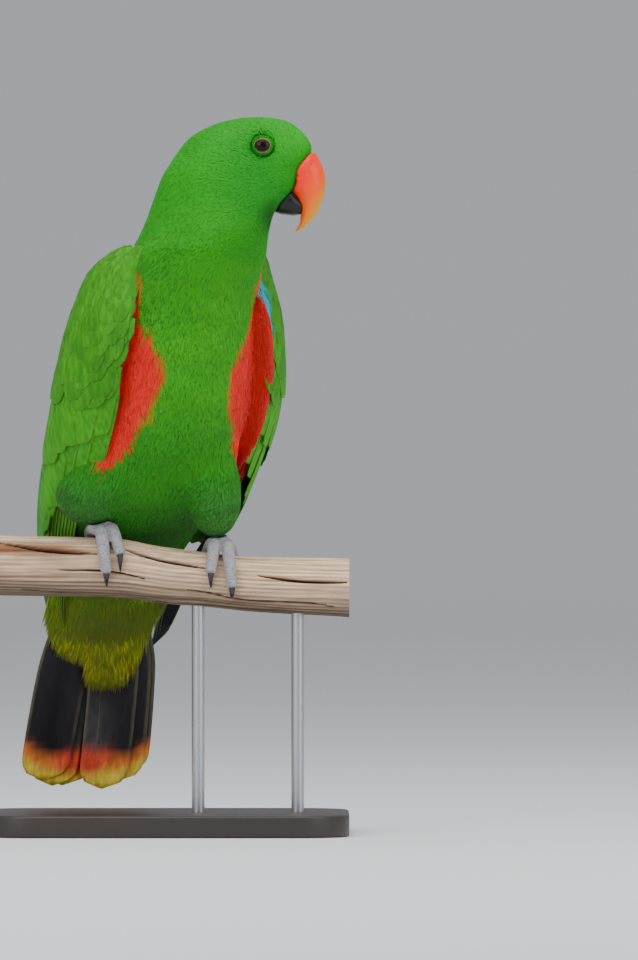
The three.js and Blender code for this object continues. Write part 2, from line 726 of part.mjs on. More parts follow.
// The bill in the head's middle plane: ridge above, cutting edge below, and half width.
const HEAD_MIDDLE = -29;
const UPPER_BILL = [
  { ridgeX: 74, ridgeZ: 372.5, edgeX: 62, edgeZ: 352, half: 10.6 },
  { ridgeX: 82.3, ridgeZ: 368.8, edgeX: 67.5, edgeZ: 348.5, half: 10.4 },
  { ridgeX: 86.1, ridgeZ: 361, edgeX: 70, edgeZ: 345.5, half: 9.9 },
  { ridgeX: 87.5, ridgeZ: 353, edgeX: 71.5, edgeZ: 342.5, half: 9.1 },
  { ridgeX: 86.4, ridgeZ: 344.7, edgeX: 72.8, edgeZ: 339, half: 7.9 },
  { ridgeX: 83.2, ridgeZ: 337, edgeX: 73.6, edgeZ: 335.3, half: 6.1 },
  { ridgeX: 78.8, ridgeZ: 331.2, edgeX: 73.3, edgeZ: 331.6, half: 3.9 },
  { ridgeX: 74.2, ridgeZ: 327.7, edgeX: 71.9, edgeZ: 328.6, half: 1.9 },
];
const BILL_TIP = { x: 69.5, z: 325.3 };
const LOWER_BILL = [
  { ridgeX: 58, ridgeZ: 351, edgeX: 57, edgeZ: 337.5, half: 8.6 },
  { ridgeX: 63.5, ridgeZ: 350, edgeX: 63, edgeZ: 335.6, half: 8.4 },
  { ridgeX: 68.5, ridgeZ: 347, edgeX: 68.5, edgeZ: 335, half: 7.6 },
  { ridgeX: 72.5, ridgeZ: 342, edgeX: 72.5, edgeZ: 335.6, half: 5.8 },
];
const LOWER_BILL_TIP = { x: 74.6, z: 338.4 };

function billSolid(stations, tip, grow = 0) {
  const sides = 16;
  const rings = stations.map((s) => {
    const centre = new THREE.Vector3((s.ridgeX + s.edgeX) / 2, HEAD_MIDDLE, (s.ridgeZ + s.edgeZ) / 2);
    const up = new THREE.Vector3((s.ridgeX - s.edgeX) / 2, 0, (s.ridgeZ - s.edgeZ) / 2);
    const reach = up.length();
    up.multiplyScalar((reach + grow) / reach);
    const ring = [];
    for (let i = 0; i < sides; i += 1) {
      const a = (i / sides) * 2 * Math.PI;
      const aside = (s.half + grow) * Math.sin(a);
      ring.push(centre.clone().addScaledVector(up, Math.cos(a)).add(new THREE.Vector3(0, aside, 0)));
    }
    return ring;
  });
  const s = stations[0];
  const start = new THREE.Vector3((s.ridgeX + s.edgeX) / 2, HEAD_MIDDLE, (s.ridgeZ + s.edgeZ) / 2);
  return solidOf(skinOver(rings, start, new THREE.Vector3(tip.x, HEAD_MIDDLE, tip.z)));
}

// The eyes: place in profile, size of the ball, and how far it stands in from the side of the head.
const EYE = { x: 53, z: 372.3, radius: 6, sunk: 4.1, opening: 4.5 };

function eyeCentre(side) {
  let inside = 0;
  let outside = 40;
  while (outside - inside > 0.01) {
    const middle = (inside + outside) / 2;
    const section = sectionAt(BODY, EYE.z);
    const dx = EYE.x - section.x;
    const angle = Math.atan2(middle, dx);
    const within = Math.hypot(dx, middle) < bodyReach(section, angle, 0);
    if (within) inside = middle;
    else outside = middle;
  }
  return new THREE.Vector3(EYE.x, HEAD_MIDDLE + side * (inside - EYE.sunk), EYE.z);
}

function ballSolid(centre, radius) {
  const ball = new THREE.SphereGeometry(radius, 14, 8);
  ball.translate(centre.x, centre.y, centre.z);
  return solidOf(ball);
}

function lidSolid(side) {
  const ring = new THREE.TorusGeometry(EYE.opening + 0.5, 0.9, 5, 14);
  ring.scale(1, 0.84, 1);
  ring.rotateX(Math.PI / 2);
  const centre = eyeCentre(side);
  ring.rotateX(-side * radians(14));
  ring.translate(centre.x, centre.y + side * (EYE.sunk - 0.4), centre.z);
  return solidOf(ring);
}

// The display stand: a flat plate with bevelled rim and two rods set into the branch.
const PLATE = { length: 200, width: 150, corner: 30, thickness: 12, bevel: 1.5 };
const ROD = { radius: 3.5, sunkLow: 7, sunkHigh: 6, places: [18, 72] };

function plateSolid() {
  const { length, width, corner, thickness, bevel } = PLATE;
  const x = length / 2 - bevel;
  const y = width / 2 - bevel;
  const r = corner - bevel;
  const outline = new THREE.Shape();
  outline.moveTo(-x + r, -y);
  outline.lineTo(x - r, -y);
  outline.absarc(x - r, -y + r, r, -Math.PI / 2, 0);
  outline.absarc(x - r, y - r, r, 0, Math.PI / 2);
  outline.absarc(-x + r, y - r, r, Math.PI / 2, Math.PI);
  outline.absarc(-x + r, -y + r, r, Math.PI, 1.5 * Math.PI);
  const plate = new THREE.ExtrudeGeometry(outline, {
    depth: thickness - 2 * bevel,
    bevelEnabled: true,
    bevelThickness: bevel,
    bevelSize: bevel,
    bevelSegments: 1,
    curveSegments: 5,
  });
  plate.translate(0, 0, bevel);
  return solidOf(plate);
}

function rodSolid(x, grow = 0) {
  const { height, radius } = branchAt(x);
  const low = PLATE.thickness - ROD.sunkLow - grow;
  const high = height - radius + ROD.sunkHigh + grow;
  const rod = new THREE.CylinderGeometry(ROD.radius + grow, ROD.radius + grow, high - low, 20);
  rod.rotateX(Math.PI / 2);
  rod.translate(x, 0, (low + high) / 2);
  return solidOf(rod);
}

const model = new THREE.Group();

function addNode(name, solid, finish) {
  const mesh = new THREE.Mesh(geometryOf(solid), finish);
  mesh.name = name;
  model.add(mesh);
}

// The bird's body, parted by the two cuts.
function addBody(grownBody) {
  const parts = without(bodySolid(), cuttingSlab(NECK_CUT), cuttingSlab(HEAD_CUT)).decompose();
  parts.sort((a, b) => a.boundingBox().min[2] - b.boundingBox().min[2]);
  const [torso, neck, head] = parts;
  addNode('torso', torso, MATERIALS.green);
  addNode('neck', neck, MATERIALS.green);
  const sockets = [-1, 1].map((side) => ballSolid(eyeCentre(side), EYE.radius + GAP));
  const lids = [-1, 1].map(lidSolid);
  addNode('head', without(joined([head, ...lids]), ...sockets), MATERIALS.green);
  addNode('eye_right', ballSolid(eyeCentre(-1), EYE.radius), MATERIALS.eye);
  addNode('eye_left', ballSolid(eyeCentre(1), EYE.radius), MATERIALS.eye);
  const upper = without(billSolid(UPPER_BILL, BILL_TIP), grownBody);
  const grownUpper = billSolid(UPPER_BILL, BILL_TIP, GAP);
  const lower = without(billSolid(LOWER_BILL, LOWER_BILL_TIP), grownBody, grownUpper);
  addNode('bill_upper', upper, MATERIALS.bill);
  addNode('bill_lower', lower, MATERIALS.black_bill);
}

function grownLimb(stations) {
  return limb(stations.map((s) => ({ ...s, r: s.r + GAP })));
}

function addWings(grownBody, grownTail) {
  for (const [name, side] of [['right', -1], ['left', 1]]) {
    const wing = joined([wingPanel(side), ...wingFeathers(side)]);
    const thigh = grownLimb(THIGHS[name]);
    addNode(`wing_${name}`, without(wing, grownBody, thigh, grownTail), MATERIALS.wing_green);
  }
}

function addLegs(grownBody) {
  const grownBranch = branchSolid(GAP);
  for (const name of ['right', 'left']) {
    const ankle = THIGHS[name].at(-1);
    const thigh = limb(THIGHS[name]);
    addNode(`thigh_${name}`, without(thigh, grownBody, grownBranch), MATERIALS.green);
    const foot = footSolid(FEET[name], ankle);
    addNode(`foot_${name}`, without(foot, grownBody, grownLimb(THIGHS[name])), MATERIALS.foot);
    FEET[name].toes.forEach((toe, i) => {
      addNode(`claw_${name}_${i + 1}`, clawSolid(toe), MATERIALS.claw);
    });
  }
}

function addTail(grownBody, grownTail) {
  addNode('tail', without(tailSolid(), grownBody), MATERIALS.tail_dark);
  const under = joined([
    ...tailCoverts(UNDERTAIL, { root: -10, tip: -8 }, 10.5, 5),
    ...tailCoverts(UNDERTAIL_SHORT, { root: -13, tip: -11 }, 14, 5),
  ]);
  const grownWingTips = joined([-1, 1].flatMap((side) => primaryFeathers(side, GAP)));
  addNode('undertail_coverts', without(under, grownBody, grownTail, grownWingTips), MATERIALS.olive);
  const over = joined(tailCoverts(UPPERTAIL, { root: 6, tip: 3.2 }, 10, 4));
  addNode('uppertail_coverts', without(over, grownBody, grownTail, grownWingTips), MATERIALS.green);
}

function addStand() {
  const places = ROD.places;
  const grownRods = places.map((x) => rodSolid(x, GAP));
  addNode('perch', without(branchSolid(), ...grownRods), MATERIALS.branch);
  addNode('stand_base', without(plateSolid(), ...grownRods), MATERIALS.stand_base);
  places.forEach((x, i) => addNode(`stand_rod_${i + 1}`, rodSolid(x), MATERIALS.stand_rod));
}

const grownBody = bodySolid(GAP);
const grownTail = tailSolid(GAP);
addBody(grownBody);
addWings(grownBody, grownTail);
addLegs(grownBody);
addTail(grownBody, grownTail);
addStand();

export default model;
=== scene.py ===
# %% [markdown]
# # A male eclectus parrot on its perch
# The bird sits upright on a weathered branch, its body turned a little to the viewer's left and its
# head in profile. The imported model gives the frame: every piece is built in metres where the frame
# has it. Flesh becomes one skin, feathers become solid vanes and tufts over it, and the stand stays
# as plain as it is.

import math
from contextlib import contextmanager

import bpy
import numpy as np
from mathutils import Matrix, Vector
from mathutils.bvhtree import BVHTree


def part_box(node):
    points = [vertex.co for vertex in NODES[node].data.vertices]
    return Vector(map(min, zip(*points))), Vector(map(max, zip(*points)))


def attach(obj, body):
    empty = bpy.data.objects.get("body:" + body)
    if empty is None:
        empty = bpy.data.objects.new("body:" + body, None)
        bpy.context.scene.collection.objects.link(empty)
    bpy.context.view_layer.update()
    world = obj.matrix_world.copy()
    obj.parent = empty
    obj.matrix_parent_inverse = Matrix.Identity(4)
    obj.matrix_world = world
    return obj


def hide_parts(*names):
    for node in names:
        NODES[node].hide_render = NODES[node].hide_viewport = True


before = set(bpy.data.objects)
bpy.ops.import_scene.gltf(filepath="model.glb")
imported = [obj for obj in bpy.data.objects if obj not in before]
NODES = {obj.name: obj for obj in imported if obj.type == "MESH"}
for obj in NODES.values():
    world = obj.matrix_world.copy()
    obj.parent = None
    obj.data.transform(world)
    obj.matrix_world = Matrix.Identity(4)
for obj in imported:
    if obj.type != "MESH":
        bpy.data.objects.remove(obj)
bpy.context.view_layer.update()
MM = 0.001
rng = np.random.default_rng(11)

# %% [markdown]
# ## Small tools
# Blender's operators act on what is selected, so each step first picks its own objects. Pieces that
# start from a node of the frame are copied, merged and then refined, and the node is hidden.


# %% Selecting, copying and finishing
def pick(*pieces):
    bpy.ops.object.select_all(action="DESELECT")
    for piece in pieces:
        piece.select_set(True)
    bpy.context.view_layer.objects.active = pieces[0]


@contextmanager
def editing(piece):
    """Edit mode with the whole piece selected, and back to object mode afterwards."""
    pick(piece)
    bpy.ops.object.mode_set(mode="EDIT")
    bpy.ops.mesh.select_all(action="SELECT")
    yield
    bpy.ops.object.mode_set(mode="OBJECT")


def new_object(name):
    """The object that the last operator made, under a name of its own."""
    piece = bpy.context.object
    piece.name = name
    return piece


def apply_modifier(piece, kind, **settings):
    pick(piece)
    modifier = piece.modifiers.new(kind.lower(), kind)
    for name, value in settings.items():
        setattr(modifier, name, value)
    bpy.ops.object.modifier_apply(modifier=modifier.name)


def copy_of(name, *nodes):
    """One mesh from copies of the named nodes, with its loose triangles merged."""
    copies = []
    for node in nodes:
        copy = NODES[node].copy()
        copy.data = NODES[node].data.copy()
        copy.parent = None
        for key in list(copy.keys()):
            del copy[key]
        bpy.context.collection.objects.link(copy)
        copies.append(copy)
    pick(*copies)
    if len(copies) > 1:
        bpy.ops.object.join()
    piece = copies[0]
    piece.name = name
    with editing(piece):
        bpy.ops.mesh.remove_doubles(threshold=0.01 * MM)
    return piece


def smooth_copy(name, voxel, rounds, *nodes):
    """Copies of nodes grown together into one fine, soft mesh."""
    piece = copy_of(name, *nodes)
    apply_modifier(piece, "REMESH", mode="VOXEL", voxel_size=voxel)
    if rounds:
        apply_modifier(piece, "SMOOTH", factor=0.5, iterations=rounds)
    return piece


def points_of(piece):
    points = np.empty(len(piece.data.vertices) * 3)
    piece.data.vertices.foreach_get("co", points)
    return points.reshape(-1, 3)


def move_points(piece, points):
    piece.data.vertices.foreach_set("co", points.ravel())
    piece.data.update()


def normals_of(piece):
    normals = np.empty(len(piece.data.vertices) * 3)
    piece.data.vertices.foreach_get("normal", normals)
    return normals.reshape(-1, 3)


def smooth_shaded(piece, degrees=None):
    pick(piece)
    if degrees is None:
        bpy.ops.object.shade_smooth()
    else:
        bpy.ops.object.shade_smooth_by_angle(angle=math.radians(degrees))


def finished(piece, slot, material, *nodes):
    """Gives a piece its material, ties it to the frame and hides the nodes it stands for."""
    piece.data.materials.clear()
    piece.data.materials.append(material)
    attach(piece, "root")
    if nodes:
        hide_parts(*nodes)
    triangles = sum(len(face.vertices) - 2 for face in piece.data.polygons)
    print(piece.name, triangles, "triangles")
    return piece


# %% [markdown]
# ## Smooth values by height
# The body and the wings were drawn as level sections. A table gives values at some heights, and a
# cubic curve gives them in between, for thousands of points in one go.


# %% Tables that are read by height
def table(*rows):
    return np.array(rows, float)


def table_at(rows, z):
    """The table's columns at each height, joined smoothly."""
    z = np.asarray(z, float)
    i = np.clip(np.searchsorted(rows[:, 0], z, side="right") - 1, 0, len(rows) - 2)
    a, b = rows[i], rows[i + 1]
    before = rows[np.maximum(i - 1, 0)]
    after = rows[np.minimum(i + 2, len(rows) - 1)]
    span = b[..., :1] - a[..., :1]
    t = np.clip((z[..., None] - a[..., :1]) / span, 0, 1)
    start = (b - before) / (b[..., :1] - before[..., :1]) * span
    end = (after - a) / (after[..., :1] - a[..., :1]) * span
    curve = (2 * t**3 - 3 * t**2 + 1) * a + (t**3 - 2 * t**2 + t) * start
    curve += (3 * t**2 - 2 * t**3) * b + (t**3 - t**2) * end
    return curve[..., 1:]


def unit(vectors):
    return vectors / np.maximum(np.linalg.norm(vectors, axis=-1, keepdims=True), 1e-12)


def smoothstep(value, low, high):
    t = np.clip((value - low) / (high - low), 0, 1)
    return t * t * (3 - 2 * t)


def wavy(points, scale, seed=0):
    """Soft noise from -1 to 1, as a few crossing waves."""
    total = 0
    waves = np.random.default_rng(seed)
    for octave in (1.0, 1.9, 3.7):
        for _ in range(3):
            direction = unit(waves.normal(size=3)) * octave / scale
            total = total + np.sin(points @ direction * 2 * math.pi + waves.uniform(0, 6.3)) / octave
    return total / 3.2


# Middle of the body by height, in millimetres: height, place along X, place along Y.
SPINE = MM * table(
    (110, -33, 53),
    (158, -21, 36),
    (190, -9, 21),
    (245, 3, -4),
    (290, 9, -20),
    (318, 19, -29),
    (349, 31, -29),
    (392, 52, -29),
)
BODY_TURN = math.radians(22)
FACING = np.array([math.sin(BODY_TURN), -math.cos(BODY_TURN), 0])
LEFT = np.array([math.cos(BODY_TURN), math.sin(BODY_TURN), 0])
print("spine from", SPINE[0], "to", SPINE[-1])

# %% [markdown]
# ## Colours
# A feather's colour is stored on the mesh, so that skin and coat can share one set of markings.
# Colours are written as they look on a screen and turned into the linear light that shaders use.


# %% Colours by name
def colour(red, green, blue):
    screen = np.array([red, green, blue]) / 255
    return np.where(screen <= 0.04045, screen / 12.92, ((screen + 0.055) / 1.055) ** 2.4)


HEAD_GREEN = colour(30, 158, 10)
CHEEK_GREEN = colour(8, 132, 34)
BREAST_GREEN = colour(52, 156, 14)
# The belly's green is darker than the breast's as painted shade under the body.
BELLY_SHADE_GREEN = colour(34, 122, 12)
THIGH_GREEN = colour(44, 118, 40)
BACK_GREEN = colour(34, 138, 26)
FLANK_RED = colour(222, 34, 22)
WING_GREEN = colour(68, 160, 26)
WING_LIME = colour(112, 190, 42)
WING_DUSK = colour(40, 100, 44)
WING_BLUE = colour(38, 72, 170)
WING_CYAN = colour(24, 160, 176)
QUILL_BLACK = colour(26, 28, 34)
QUILL_EDGE = colour(176, 190, 96)
OLIVE_YELLOW = colour(166, 166, 16)
OLIVE_GREEN = colour(104, 158, 20)
TAIL_CHARCOAL = colour(18, 16, 18)
# A painted purple sheen on the dark underside of the tail.
TAIL_PURPLE_SHEEN = colour(42, 38, 44)
TAIL_RED = colour(226, 78, 52)
TAIL_ORANGE = colour(226, 120, 50)
TAIL_RIM = colour(140, 138, 96)
TAIL_GREY = colour(100, 98, 98)
TAIL_YELLOW = colour(230, 200, 66)
TAIL_GREEN = colour(46, 120, 44)
TAIL_BLUE = colour(36, 70, 140)


def mixed(a, b, share):
    share = np.asarray(share)[..., None]
    return a * (1 - share) + b * share


# %% [markdown]
# ## The body's markings
# The male is green all over, with bright red flanks that show between wing and belly. The head and
# breast are the brightest. The belly is darker as painted shade, the thighs are duller, and a painted
# shadow lies under the lower bill. A point's place round the body is its angle from where the breast
# faces.

# %% One function paints skin and coat
# Where the red flank begins, as an angle from the middle of the breast, by height.
FLANK_EDGE = table(
    (0.203, 66),
    (0.207, 56),
    (0.213, 47),
    (0.222, 41),
    (0.232, 33),
    (0.245, 28),
    (0.255, 27),
    (0.266, 31),
    (0.277, 40),
    (0.290, 49),
    (0.302, 54),
    (0.312, 70),
)
LEFT_FLANK_OFFSET = -3
EYE_LEVEL = np.array([0.053, -0.029, 0.3723])
NECK_TOP = 0.335
# Middle of the painted shadow under the lower bill.
BILL_SHADOW_CENTRE = np.array([0.062, -0.029, 0.334])


def round_body(points):
    """Angle from where the breast faces, in degrees, positive to the bird's left."""
    middle = table_at(SPINE, points[:, 2])
    away = points[:, :2] - middle
    return np.degrees(np.arctan2(away @ LEFT[:2], away @ FACING[:2]))


def is_red(points):
    angle = round_body(points)
    edge = table_at(FLANK_EDGE, points[:, 2])[:, 0] + np.where(angle > 0, LEFT_FLANK_OFFSET, 0)
    ragged = 4 * wavy(points * [1, 1, 0.35], 9 * MM, 5)
    inside = smoothstep(np.abs(angle) - edge + ragged, -2, 3)
    low = smoothstep(points[:, 2] - 0.0004 * np.maximum(np.abs(angle) - 52, 0), 0.201, 0.206)
    high = 1 - smoothstep(points[:, 2], 0.302, 0.312)
    return inside * low * high * (np.abs(angle) < 110)


def paint_body(points):
    z = points[:, 2]
    angle = np.abs(round_body(points))
    # Darker towards the belly as painted shade, brighter up the breast.
    tone = mixed(BELLY_SHADE_GREEN, BREAST_GREEN, smoothstep(z, 0.17, 0.27))
    tone = mixed(tone, BACK_GREEN, smoothstep(angle, 90, 140) * (z < NECK_TOP))
    tone = mixed(tone, HEAD_GREEN, smoothstep(z, 0.29, 0.35))
    from_eye = np.linalg.norm(points - EYE_LEVEL - np.array([-6, 0, -16]) * MM, axis=1)
    tone = mixed(tone, CHEEK_GREEN, 0.7 * (1 - smoothstep(from_eye, 8 * MM, 40 * MM)))
    neck = smoothstep(z, 0.27, 0.30) * (1 - smoothstep(z, 0.335, 0.365))
    tone = tone * (1 - 0.22 * neck)[:, None]
    thigh = smoothstep(0.204 - z, 0, 0.02) * smoothstep(np.abs(points[:, 0] + 4 * MM), 18 * MM, 32 * MM)
    tone = mixed(tone, THIGH_GREEN, 0.75 * thigh)
    tone = mixed(tone, OLIVE_GREEN, smoothstep(0.142 - z, 0, 0.012) * smoothstep(-angle, -110, -80))
    tone = mixed(tone, FLANK_RED, is_red(points))
    # A painted shadow darkens the feathers under and behind the lower bill.
    from_bill_shadow = np.linalg.norm((points - BILL_SHADOW_CENTRE)[:, [0, 2]], axis=1)
    tone = tone * (1 - 0.55 * (1 - smoothstep(from_bill_shadow, 3 * MM, 13 * MM)))[:, None]
    tone = mixed(tone, tone * [1.5, 1.12, 1], 0.5 * smoothstep(wavy(points, 40 * MM, 6), -0.3, 0.7))
    return tone * (1 + 0.08 * wavy(points, 22 * MM, 3))[:, None]


COLOUR_LAYER = "Feather"


def store_colour(mesh, colours):
    layer = mesh.color_attributes.new(COLOUR_LAYER, "FLOAT_COLOR", "POINT")
    rgba = np.ones((len(colours), 4))
    rgba[:, :3] = np.clip(colours, 0, 1)
    layer.data.foreach_set("color", rgba.ravel())


# %% [markdown]
# ## Materials
# Most materials take their colour from the mesh and add a fine pattern of their own. What is the
# same all over, such as roughness, is set on the shader itself.


# %% Materials from a few nodes
# The noise between these levels darkens or brightens the colour by these shares.
GRAIN_RANGE = {"From Min": 0.3, "From Max": 0.7, "To Min": 0.72, "To Max": 1.22}


def painted(name, roughness, sheen=0.0, grain=None, bump=0.0, **sockets):
    """A material with the mesh's stored colour, varied by a noise of the given grain."""
    material = bpy.data.materials.new(name)
    material.use_nodes = True
    nodes, links = material.node_tree.nodes, material.node_tree.links
    shader = nodes["Principled BSDF"]
    shader.inputs["Roughness"].default_value = roughness
    shader.inputs["Sheen Weight"].default_value = sheen
    for socket, value in sockets.items():
        shader.inputs[socket.replace("_", " ")].default_value = value
    stored = nodes.new("ShaderNodeAttribute")
    stored.attribute_name = COLOUR_LAYER
    last = stored.outputs["Color"]
    if grain:
        where = nodes.new("ShaderNodeTexCoord")
        stretch = nodes.new("ShaderNodeMapping")
        stretch.inputs["Scale"].default_value = grain
        noise = nodes.new("ShaderNodeTexNoise")
        noise.inputs["Scale"].default_value = 1.0
        noise.inputs["Detail"].default_value = 4.0
        span = nodes.new("ShaderNodeMapRange")
        for socket, value in GRAIN_RANGE.items():
            span.inputs[socket].default_value = value
        tint = nodes.new("ShaderNodeVectorMath")
        tint.operation = "SCALE"
        links.new(where.outputs["Object"], stretch.inputs["Vector"])
        links.new(stretch.outputs["Vector"], noise.inputs["Vector"])
        links.new(noise.outputs["Fac"], span.inputs["Value"])
        links.new(last, tint.inputs["Vector"])
        links.new(span.outputs["Result"], tint.inputs["Scale"])
        last = tint.outputs["Vector"]
        if bump:
            relief = nodes.new("ShaderNodeBump")
            relief.inputs["Strength"].default_value = bump
            relief.inputs["Distance"].default_value = 0.3 * MM
            links.new(noise.outputs["Fac"], relief.inputs["Height"])
            links.new(relief.outputs["Normal"], shader.inputs["Normal"])
    links.new(last, shader.inputs["Base Color"])
    return material


COAT = painted("soft body feathers", 0.62, sheen=0.04, Specular_IOR_Level=0.18)
WING = painted("wing feathers", 0.62, grain=(500, 500, 90), bump=0.15, Specular_IOR_Level=0.14)
TAIL = painted("tail feathers", 0.5, grain=(420, 420, 60), bump=0.2, Specular_IOR_Level=0.3)
BILL = painted("bill horn", 0.34, Specular_IOR_Level=0.3)
FOOT = painted("scaly foot skin", 0.7, grain=(800, 800, 1500), bump=0.7, Specular_IOR_Level=0.3)
CLAW = painted("claw horn", 0.35)
EYE = painted("eye", 0.1, Specular_IOR_Level=0.22)
LID = painted("eyelid skin", 0.6, Specular_IOR_Level=0.3)
BRANCH = painted("weathered wood", 0.85, grain=(60, 700, 700), bump=0.4, Specular_IOR_Level=0.2)
print("materials", len(bpy.data.materials))

# %% [markdown]
# ## One skin under the coat
# Torso, neck, head and thighs are one animal, so their solids are grown together by a voxel remesh,
# which closes the thin cuts between them. Swelling it, remeshing and drawing it in again fills the
# deep creases beside the thighs, as loose belly feathers do. At last the surface is drawn in by the
# depth of the coat that will lie on it.

# %% The skin
COAT_DEPTH = 1.0 * MM
CREASE_FILL = 6 * MM
THIGH_PUFF = 6 * MM


def plump(points):
    """Share of the crease filling at each height: full on the belly, none at the head."""
    return 1 - smoothstep(points[:, 2], 0.26, 0.30)


skin = smooth_copy("skin", 1.8 * MM, 3, "torso", "neck", "head", "thigh_right", "thigh_left")
spots = points_of(skin)
move_points(skin, spots + normals_of(skin) * CREASE_FILL * plump(spots)[:, None])
apply_modifier(skin, "REMESH", mode="VOXEL", voxel_size=1.3 * MM)
apply_modifier(skin, "SMOOTH", factor=0.5, iterations=6)
spots = points_of(skin)
drawn_in = COAT_DEPTH + CREASE_FILL * plump(spots)[:, None]
spots = spots - normals_of(skin) * drawn_in
outer_thigh = smoothstep(-spots[:, 0], 34 * MM, 52 * MM) * smoothstep(spots[:, 2], 0.150, 0.166)
outer_thigh = outer_thigh * (1 - smoothstep(spots[:, 2], 0.180, 0.204))
spots[:, 0] -= THIGH_PUFF * outer_thigh
move_points(skin, spots)
apply_modifier(skin, "REMESH", mode="VOXEL", voxel_size=1.25 * MM)
apply_modifier(skin, "SMOOTH", factor=0.5, iterations=5)
store_colour(skin.data, 0.5 * paint_body(points_of(skin)))
smooth_shaded(skin)
finished(skin, "green_feathers", COAT, "torso", "neck", "head", "thigh_right", "thigh_left")

# %% [markdown]
# ## How the coat lies
# Feathers point away from the bill over the whole head, and down along the body from the neck on.
# A field gives that direction at any point, laid flat on the surface there. Each tuft is then bent
# along the skin by asking for the nearest surface point at its middle and its tip.

# %% The lie of the feathers
BILL_ROOT = np.array([0.070, -0.029, 0.356])
skin_tree = BVHTree.FromObject(skin, bpy.context.evaluated_depsgraph_get())


def lie(points, normals):
    z = points[:, 2]
    step = 4 * MM
    above = np.c_[table_at(SPINE, z + step), z + step]
    below = np.c_[table_at(SPINE, z - step), z - step]
    down = unit(below - above)
    away = unit(points - BILL_ROOT)
    reach = np.linalg.norm(points - BILL_ROOT, axis=1)
    on_head = (1 - smoothstep(reach, 40 * MM, 95 * MM))[:, None]
    flow = unit(away * on_head + down * (1 - on_head))
    flow = flow - normals * np.sum(flow * normals, axis=1, keepdims=True)
    return unit(flow)


def on_surface(tree, points):
    """The nearest place on a surface, and its normal, for each point."""
    places = np.empty_like(points)
    normals = np.empty_like(points)
    for i, point in enumerate(points):
        place, normal, _, _ = tree.find_nearest(point)
        places[i] = place
        normals[i] = normal
    return places, normals


# %% [markdown]
# ## Tufts
# A small body feather is a thin solid leaf: a root point sunk into the skin, two rings of three
# points with a raised shaft, and a tip point. Twelve triangles are enough, as there are tens of
# thousands. Each tuft keeps one small patch of the bake map, at its root's place on the unwrapped
# body: the angle round the spine and the height.

# %% Many tufts as one mesh
TUFT_FACES = np.array([(1, 2, 5, 4), (2, 3, 6, 5), (3, 1, 4, 6)])
TUFT_ENDS = np.array([(0, 2, 1), (0, 3, 2), (0, 1, 3), (4, 5, 7), (5, 6, 7), (6, 4, 7)])
TUFT_MAP = np.array([(0.5, 0), (0, 0.3), (0.5, 0.3), (1, 0.3), (0, 0.7), (0.5, 0.7), (1, 0.7), (0.5, 1)])
PATCH = 0.003
MOST_TUFTS = 15500


def body_map(points):
    """A place on the unwrapped body for each point."""
    middle = table_at(SPINE, points[:, 2])
    away = points[:, :2] - middle
    turn = np.arctan2(away[:, 1], away[:, 0]) / (2 * math.pi) + 0.5
    rise = (points[:, 2] - 0.02) / 0.38
    return np.c_[0.02 + 0.95 * turn, 0.02 + 0.95 * rise]


def tuft_points(paths, normals, widths, heights):
    """Eight points for each tuft, from three places along it."""
    root, middle, tip = paths[:, 0], paths[:, 1], paths[:, 2]
    n0, n1, n2 = normals[:, 0], normals[:, 1], normals[:, 2]
    low = 0.45 * root + 0.55 * middle
    high = 0.45 * middle + 0.55 * tip
    up_low, up_high = unit(n0 + n1), unit(n1 + n2)
    along = unit(tip - root)
    aside = unit(np.cross(along, up_low))
    w, h = widths[:, None], heights[:, None]
    points = np.empty((len(paths), 8, 3))
    points[:, 0] = root - n0 * 0.25 * h
    for k, (place, up, lift, half) in enumerate(((low, up_low, 0.35, 0.9), (high, up_high, 0.75, 0.8))):
        base = place + up * h * lift
        points[:, 1 + 3 * k] = base - aside * w * half * 0.5
        points[:, 2 + 3 * k] = base + up * w * 0.16
        points[:, 3 + 3 * k] = base + aside * w * half * 0.5
    points[:, 7] = tip + n2 * h
    return points


def quad_mesh(name, points, quads, triangles):
    """A mesh from arrays of points, four-cornered faces and triangles."""
    mesh = bpy.data.meshes.new(name)
    corners = np.concatenate([quads.ravel(), triangles.ravel()])
    sizes = np.concatenate([np.full(len(quads), 4), np.full(len(triangles), 3)])
    starts = np.concatenate([[0], np.cumsum(sizes)[:-1]])
    mesh.vertices.add(len(points))
    mesh.vertices.foreach_set("co", points.ravel())
    mesh.loops.add(len(corners))
    mesh.loops.foreach_set("vertex_index", corners.astype(np.int32))
    mesh.polygons.add(len(sizes))
    mesh.polygons.foreach_set("loop_start", starts.astype(np.int32))
    mesh.update(calc_edges=True)
    piece = bpy.data.objects.new(name, mesh)
    bpy.context.collection.objects.link(piece)
    return piece, corners


def store_bake_map(piece, places, corners):
    """The bake map, from one place on it for each point of the piece."""
    layers = piece.data.uv_layers
    bake = layers.get("OFBake") or layers.new(name="OFBake")
    bake.data.foreach_set("uv", places.reshape(-1, 2)[corners].ravel())


def ring_quads(index):
    """Faces between each ring of points and the next, from a rings x sides array of indices."""
    here, there = index[..., :-1, :], index[..., 1:, :]
    sides = [here, there, np.roll(there, -1, -1), np.roll(here, -1, -1)]
    return np.stack(sides, axis=-1).reshape(-1, 4)


